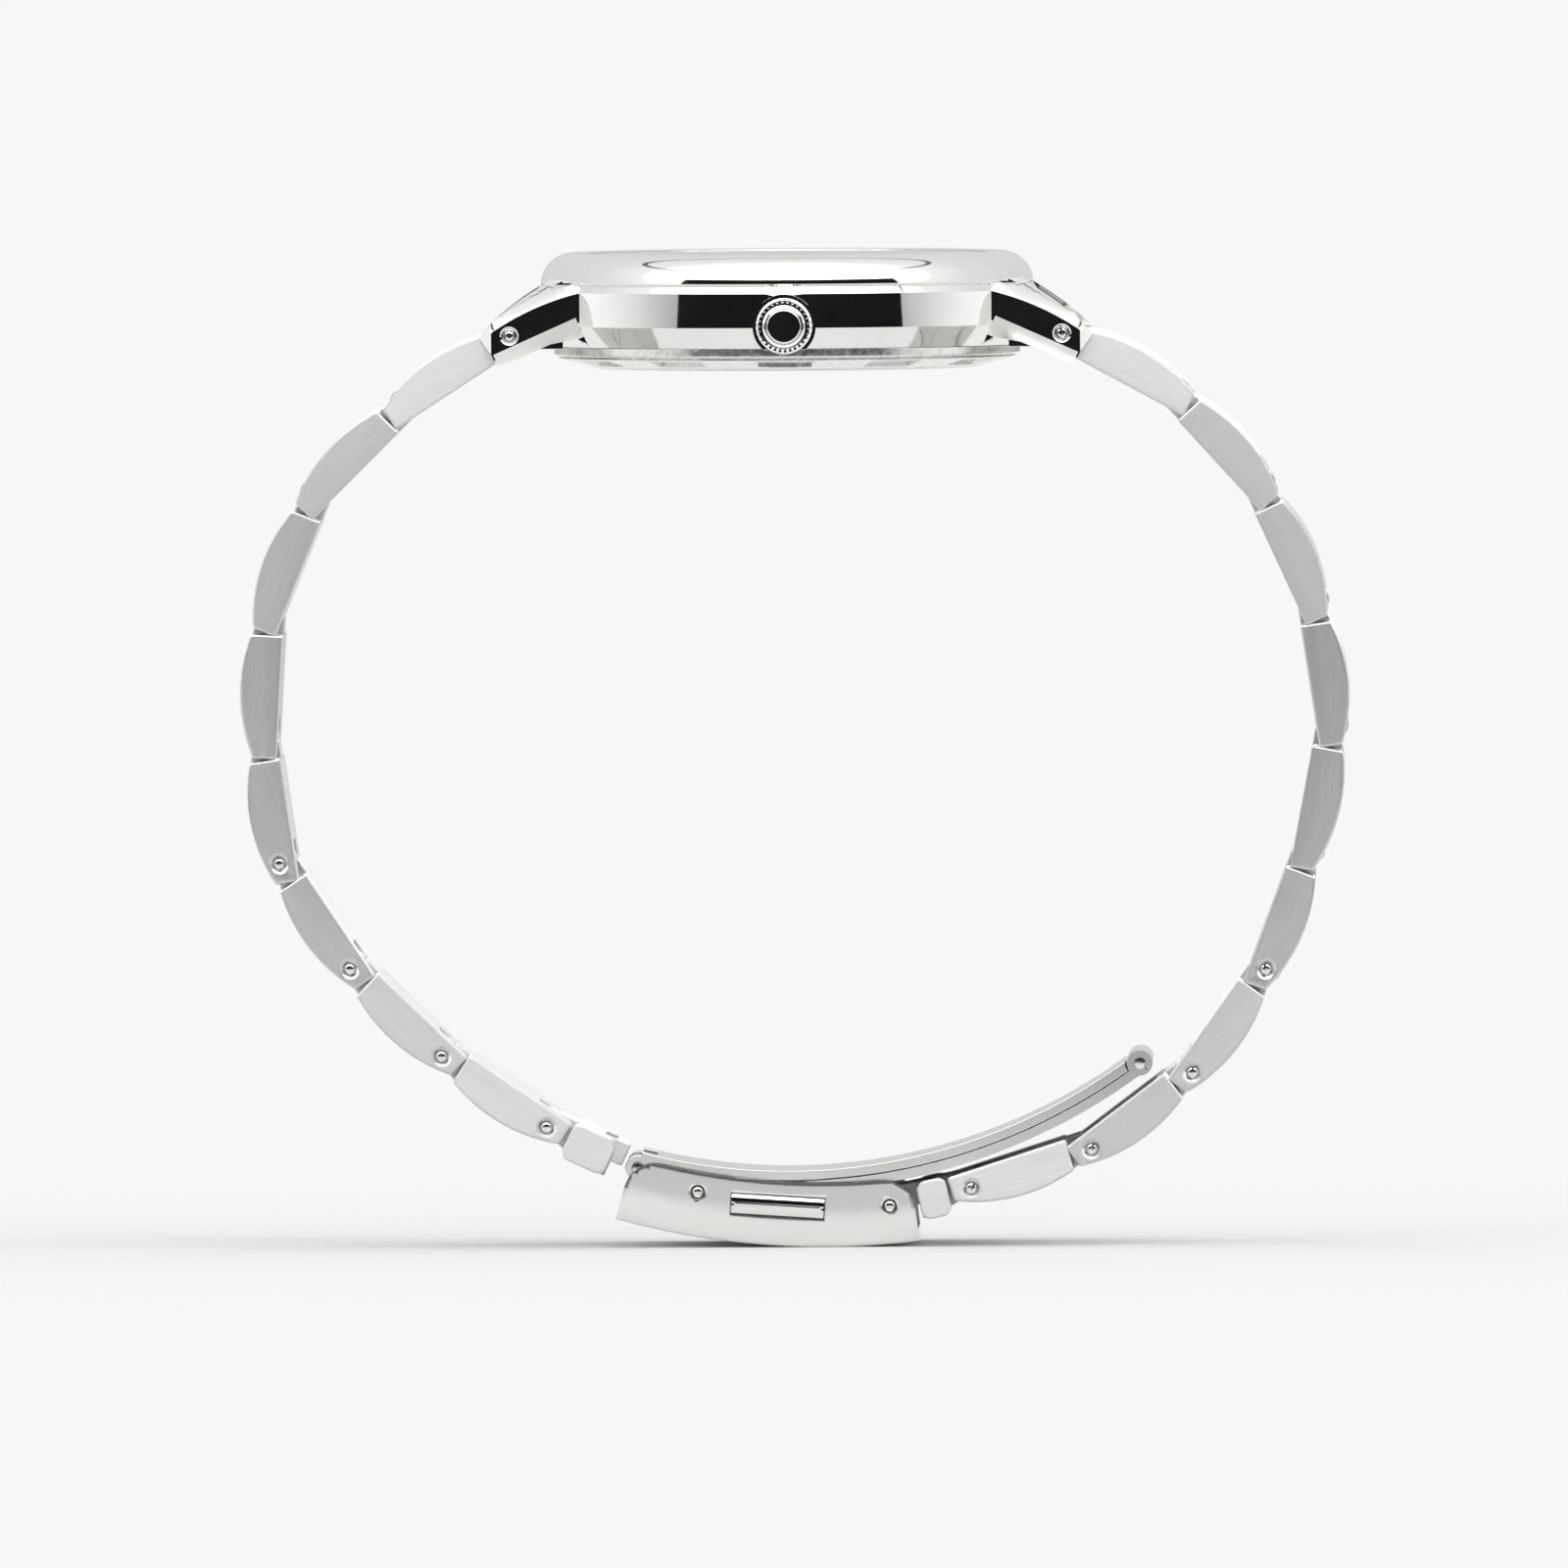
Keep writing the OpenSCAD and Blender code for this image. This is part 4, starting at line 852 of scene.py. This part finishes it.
class WATCH_OT_clasp(bpy.types.Operator):
    """Folding clasp: cover, blades, pins, push buttons and their springs"""
    bl_idname = "watch.clasp"
    bl_label = "Clasp"

    def execute(self, context):
        for node, name, finish_name, edge in (
                ("middle_blade", "upper_blade", "blade steel", 0.3),
                ("bottom_blade", "lower_blade", "blade steel", 0.3),
                ("fold_pin", "fold_rivet", "pin steel", 0.05),
                ("blade_end_pin", "end_rivet", "pin steel", 0.05),
                ("cover_pins", "cover_rivets", "pin steel", 0.3)):
            dress_node(node, name, finish_name, edge * MM, segments=4)
        self.cover()
        for side, sign in (("near", 1), ("far", -1)):
            self.pusher(f"button_{side}", sign)
            self.spring(f"spring_{side}")
        return {"FINISHED"}

    def cover(self):
        """A channel spun about the cover's own middle: its sides curve softly into the outer face."""
        half, tall, squash = COVER_HALF, COVER_TALL, 5
        shell = primitive("plane", "cover_shell", size=1, rotation=(0, math.pi / 2, 0))
        shell.scale = (tall, 2 * half * squash, tall)
        shell.location = CLASP_MIDDLE - Vector((0, 0, CLASP_RADIUS - tall / 2))
        settle(shell)
        with editing(shell):
            bottom = CLASP_MIDDLE.z - CLASP_RADIUS
            pick(shell, "VERT", lambda vertex: vertex.co.z < bottom + MM)
            bpy.ops.mesh.bevel(offset=3.2 * MM, segments=14, affect="VERTICES")
            # short steps down the sides keep the shading even round the holes cut later
            pick(shell, "EDGE", lambda edge: abs(edge.verts[0].co.z - edge.verts[1].co.z) > MM)
            bpy.ops.mesh.subdivide(number_cuts=6)
            bpy.ops.mesh.select_all(action="SELECT")
            bpy.ops.transform.resize(value=(1, 1 / squash, 1), center_override=(0, 0, 0))
        shell.data.transform(self.turned(COVER_FIRST))
        with editing(shell):
            bpy.ops.mesh.spin(steps=56, angle=COVER_LAST - COVER_FIRST, center=CLASP_MIDDLE, axis=(0, 1, 0))
            bpy.ops.mesh.select_all(action="SELECT")
            bpy.ops.mesh.normals_make_consistent(inside=False)
        corner, spare = COVER_CORNER, 0.3 * MM
        for angle, side in ((COVER_FIRST, 1), (COVER_LAST, -1)):
            # what rounds an inner corner: a block without the quarter circle that stays
            waste = cuboid("corner", (corner + spare, 3 * half, corner + spare),
                           (side * (corner - spare) / 2, 0, (spare - corner) / 2))
            cut_by(waste, rod("round_part", corner, 4 * half, (side * corner, 0, -corner), 96))
            waste.data.transform(Matrix.Translation(CLASP_MIDDLE - Vector((0, 0, CLASP_RADIUS - tall))))
            waste.data.transform(self.turned(angle))
            cut_by(shell, waste)
        cut_by(shell, rod("hollow", CLASP_RADIUS - COVER_WALL, 2 * (half - COVER_WALL), CLASP_MIDDLE, 360))
        slot = cuboid("slot", (SLOT_LONG, 3 * half, SLOT_TALL))
        slot.data.transform(self.at_buttons())
        cut_by(shell, slot)
        low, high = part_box("cover_pins")
        radius = 0.5 * MM
        for x, z in ((low.x + radius, high.z - radius), (high.x - radius, low.z + radius)):
            for side in (1, -1):
                cut_by(shell, primitive("cone", "hole", vertices=48, radius1=0.66 * MM, radius2=radius,
                                        depth=0.8 * MM, location=(x, side * (half - 0.3 * MM), z),
                                        rotation=(side * math.pi / 2, 0, 0)))
        rib = cuboid("rib", (3 * MM, 1.8 * MM, 3.5 * MM), (0, 0, -1.15 * MM))
        rib.data.transform(self.at_buttons())
        take(rib, shell)
        soften(shell, 0.05 * MM, angle=50)
        finish(shell, "clasp_cover", "silk steel", smooth=40)

    def turned(self, angle):
        """A turn about the cover's middle, from its lowest point towards 12 o'clock."""
        return (Matrix.Translation(CLASP_MIDDLE) @ Matrix.Rotation(-angle, 4, "Y")
                @ Matrix.Translation(-CLASP_MIDDLE))

    def at_buttons(self):
        return Matrix.Translation(BUTTONS) @ Matrix.Rotation(BUTTON_LEAN, 4, "Y")

    def pusher(self, node, side):
        """A bar with a pillow face, and the lip inside that holds the blade."""
        low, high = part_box(node)
        bar = cuboid("pusher_" + node.removeprefix("button_"), (BUTTON_LONG, high.y - low.y, BUTTON_TALL),
                     (0, -abs(low.y + high.y) / 2, 0))
        front, squash = -max(abs(low.y), abs(high.y)), 2.6
        bar.data.transform(Matrix.Diagonal((1, squash, 1, 1)))
        with editing(bar):
            for lengthwise, size in ((True, 0.84 * MM), (False, 0.4 * MM)):
                pick(bar, "EDGE", lambda edge: (
                    all(vertex.co.y < squash * front + 0.01 * MM for vertex in edge.verts)
                    and (abs(edge.verts[0].co.z - edge.verts[1].co.z) < 1e-6) == lengthwise))
                bpy.ops.mesh.bevel(offset=size, segments=12, affect="EDGES")
        bar.data.transform(Matrix.Diagonal((1, 1 / squash, 1, 1)))
        lip = cuboid("lip", (4 * MM, 0.9 * MM, 0.8 * MM), (0, -7.95 * MM, 1.2 * MM))
        soften(lip, 0.05 * MM)
        take(lip, bar)
        bar.data.transform(self.at_buttons())
        if side < 0:
            mirror(bar)
        finish(bar, node, "polished steel", smooth=40)

    def spring(self, node):
        """A round wire wound into coils that fill the spring's place."""
        low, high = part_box(node)
        wire, turns = 0.1 * MM, 5
        radius = (high.x - low.x) / 2 - wire
        length = high.y - low.y - 2 * wire
        coil = primitive("circle", "return_" + node, vertices=10, radius=wire, fill_type="NOTHING",
                         location=(radius, 0, 0), rotation=(math.pi / 2, 0, 0))
        apply(coil, "SCREW", axis="Z", steps=28, render_steps=28, iterations=turns,
              screw_offset=length / turns, use_normal_calculate=True)
        with editing(coil):
            bpy.ops.mesh.normals_make_consistent(inside=False)
        coil.data.transform(Matrix.Translation((0, 0, -length / 2)))
        coil.data.transform(Matrix.Rotation(math.pi / 2, 4, "X"))
        coil.data.transform(Matrix.Translation((low + high) / 2))
        finish(coil, node, "pin steel")


# Stage

class WATCH_OT_stage(bpy.types.Operator):
    """Floor, sky, lamp, reflector cards and camera"""
    bl_idname = "watch.stage"
    bl_label = "Stage"

    def execute(self, context):
        scene = context.scene
        settings = scene.watch_stage
        scene.view_settings.view_transform = "Standard"
        floor = primitive("plane", "floor", size=60, location=(0, 20, LOW.z))
        self.paint(floor, "pale floor", "BsdfDiffuse", Color=linear(settings.backdrop))
        self.sky(scene, settings)
        self.tent()
        self.card("dark_card", "#141414", facing=2.5, half_turn=51.5, reach=0.5, low=0, high=0.32)
        self.card("dark_seam", "#6A6A6A", facing=180, half_turn=105, reach=0.6, low=0.86, high=0.91)
        self.lamp(scene)
        self.camera(scene, settings)
        return {"FINISHED"}

    def paint(self, piece, name, shader, **inputs):
        """Gives a stage piece a material of one plain shader."""
        material, tree, out = fresh(name)
        tree.links.new(add(tree, shader, **inputs).outputs[0], out)
        piece.data.materials.append(material)

    def sky(self, scene, settings):
        """Even light, which metal, glass and the camera see as the plain backdrop."""
        world = bpy.data.worlds.new("studio")
        scene.world = world
        world.use_nodes = True
        tree = world.node_tree
        tree.nodes.clear()
        out = add(tree, "OutputWorld")
        rays = add(tree, "LightPath").outputs
        seen = rays["Is Camera Ray"]
        for other in ("Is Glossy Ray", "Is Transmission Ray"):
            seen = add(tree, "Math", {"operation": "MAXIMUM"}, i0=seen, i1=rays[other]).outputs[0]
        light = add(tree, "Background", Color=(1, 1, 1, 1), Strength=settings.sky).outputs[0]
        shown = add(tree, "Background", Color=linear(settings.backdrop), Strength=1.0).outputs[0]
        both = add(tree, "MixShader", i0=seen, i1=light, i2=shown).outputs[0]
        tree.links.new(both, out.inputs[0])

    def tent(self):
        """White walls and roof of a light tent, brighter at the sides, that show only in metal and glass."""
        walls = primitive("cylinder", "tent_walls", vertices=180, radius=TENT_RADIUS, depth=0.4,
                          end_fill_type="NOTHING", location=(0, 0, LOW.z))
        roof = primitive("uv_sphere", "tent_roof", segments=96, ring_count=48, radius=ROOF_RADIUS,
                         location=(0, 0, LOW.z))
        round_tent = {"Rotation": (0, 0, math.radians(90))}
        from_patch = {"Scale": (PATCH_SHARE,) * 3,
                      "Location": (0, PATCH_FORWARD, -PATCH_SHARE * (LOW.z + PATCH_UP))}
        for piece, kind, light, turn in ((walls, "RADIAL", WALL_LIGHT, round_tent),
                                         (roof, "SPHERICAL", ROOF_LIGHT, from_patch)):
            material, tree, out = fresh(piece.name.replace("_", " "))
            place = add(tree, "TexCoord").outputs["Object"]
            mapping = add(tree, "Mapping", Vector=place, **turn).outputs[0]
            share = add(tree, "TexGradient", {"gradient_type": kind}, Vector=mapping).outputs[1]
            shades = add(tree, "ValToRGB", Fac=share)
            steps = shades.color_ramp.elements
            while len(steps) < len(light):
                steps.new(0.5)
            for step, (at, level) in zip(steps, light):
                step.position, step.color = at, (*[level / TOP_LEVEL] * 3, 1)
            shader = add(tree, "Emission", Color=shades.outputs[0], Strength=TOP_LEVEL)
            tree.links.new(shader.outputs[0], out)
            piece.data.materials.append(material)
            self.hide(piece)

    def hide(self, piece):
        """A stage piece that only reflections see."""
        piece.visible_camera = piece.visible_shadow = piece.visible_diffuse = False
        piece.visible_transmission = False

    def card(self, name, colour, facing, half_turn, reach, low, high):
        """An upright curved card that shows only in metal, with its edges low and high metres up.

        Facing and half_turn are in degrees; facing 0 is the camera's side.
        """
        card = primitive("cylinder", name, vertices=180, radius=reach, depth=high - low,
                         end_fill_type="NOTHING", location=(0, 0, LOW.z + (low + high) / 2))
        away = math.radians(half_turn)

        def beyond(face):
            middle = face.calc_center_median()
            turn = math.atan2(middle.x, -middle.y) - math.radians(facing)
            return abs(math.atan2(math.sin(turn), math.cos(turn))) > away

        with editing(card):
            pick(card, "FACE", beyond)
            bpy.ops.mesh.delete(type="FACE")
        self.paint(card, name.replace("_", " "), "Emission", Color=linear(colour), Strength=1.0)
        self.hide(card)

    def lamp(self, scene):
        """One wide soft lamp from the upper right, far enough to light the floor evenly."""
        lamp = bpy.data.objects.new("soft_lamp", bpy.data.lights.new("soft_lamp", "SUN"))
        lamp.data.energy = 0.35
        lamp.data.angle = math.radians(60)
        lamp.rotation_euler = Vector((0.61, -0.35, 0.71)).to_track_quat("Z", "Y").to_euler()
        scene.collection.objects.link(lamp)

    def camera(self, scene, settings):
        """A very long lens, nearly level, turned as the photograph's camera was."""
        camera = bpy.data.objects.new("camera", bpy.data.cameras.new("camera"))
        scene.collection.objects.link(camera)
        sensor, across = 36, 133.9 * MM  # the camera's chip in mm, and what it sees at the watch
        camera.data.lens, camera.data.sensor_width = settings.lens, sensor
        aim = Vector((-0.5, 0, -35.58)) * MM
        yaw, pitch, roll = math.radians(0.7), math.radians(1.4), math.radians(-0.336)
        back = Vector((math.sin(yaw) * math.cos(pitch), -math.cos(yaw) * math.cos(pitch), math.sin(pitch)))
        camera.location = aim + back * across * settings.lens / sensor
        turn = (-back).to_track_quat("-Z", "Y").to_matrix() @ Matrix.Rotation(roll, 3, "Z")
        camera.rotation_euler = turn.to_euler()
        camera.data.clip_start, camera.data.clip_end = 0.1, 100
        scene.camera = camera


class WATCH_PT_panel(bpy.types.Panel):
    """Sizes, colours and steps of the watch"""
    bl_idname = "WATCH_PT_panel"
    bl_label = "Watch"
    bl_space_type = "VIEW_3D"
    bl_region_type = "UI"
    bl_category = "Watch"

    def draw(self, context):
        for group in GROUPS:
            box = self.layout.box()
            settings = getattr(context.scene, group)
            for name in type(settings).__annotations__:
                box.prop(settings, name)
        for operator in OPERATORS:
            self.layout.operator(operator.bl_idname)


OPERATORS = (WATCH_OT_stage, WATCH_OT_finishes, WATCH_OT_case, WATCH_OT_glass, WATCH_OT_crown,
             WATCH_OT_dial, WATCH_OT_movement, WATCH_OT_bracelet, WATCH_OT_bars, WATCH_OT_clasp)
GROUPS = {"watch_stage": WatchStage, "watch_steel": WatchSteel, "watch_link": WatchLink,
          "watch_dial": WatchDial}


def register():
    for one in (*GROUPS.values(), *OPERATORS, WATCH_PT_panel):
        bpy.utils.register_class(one)
    for name, group in GROUPS.items():
        setattr(bpy.types.Scene, name, bpy.props.PointerProperty(type=group))


def unregister():
    for name in GROUPS:
        delattr(bpy.types.Scene, name)
    for one in (WATCH_PT_panel, *reversed(OPERATORS), *GROUPS.values()):
        bpy.utils.unregister_class(one)


def main():
    register()
    for operator in OPERATORS:
        group, name = operator.bl_idname.split(".")
        getattr(getattr(bpy.ops, group), name)()


if __name__ == "__main__":
    main()
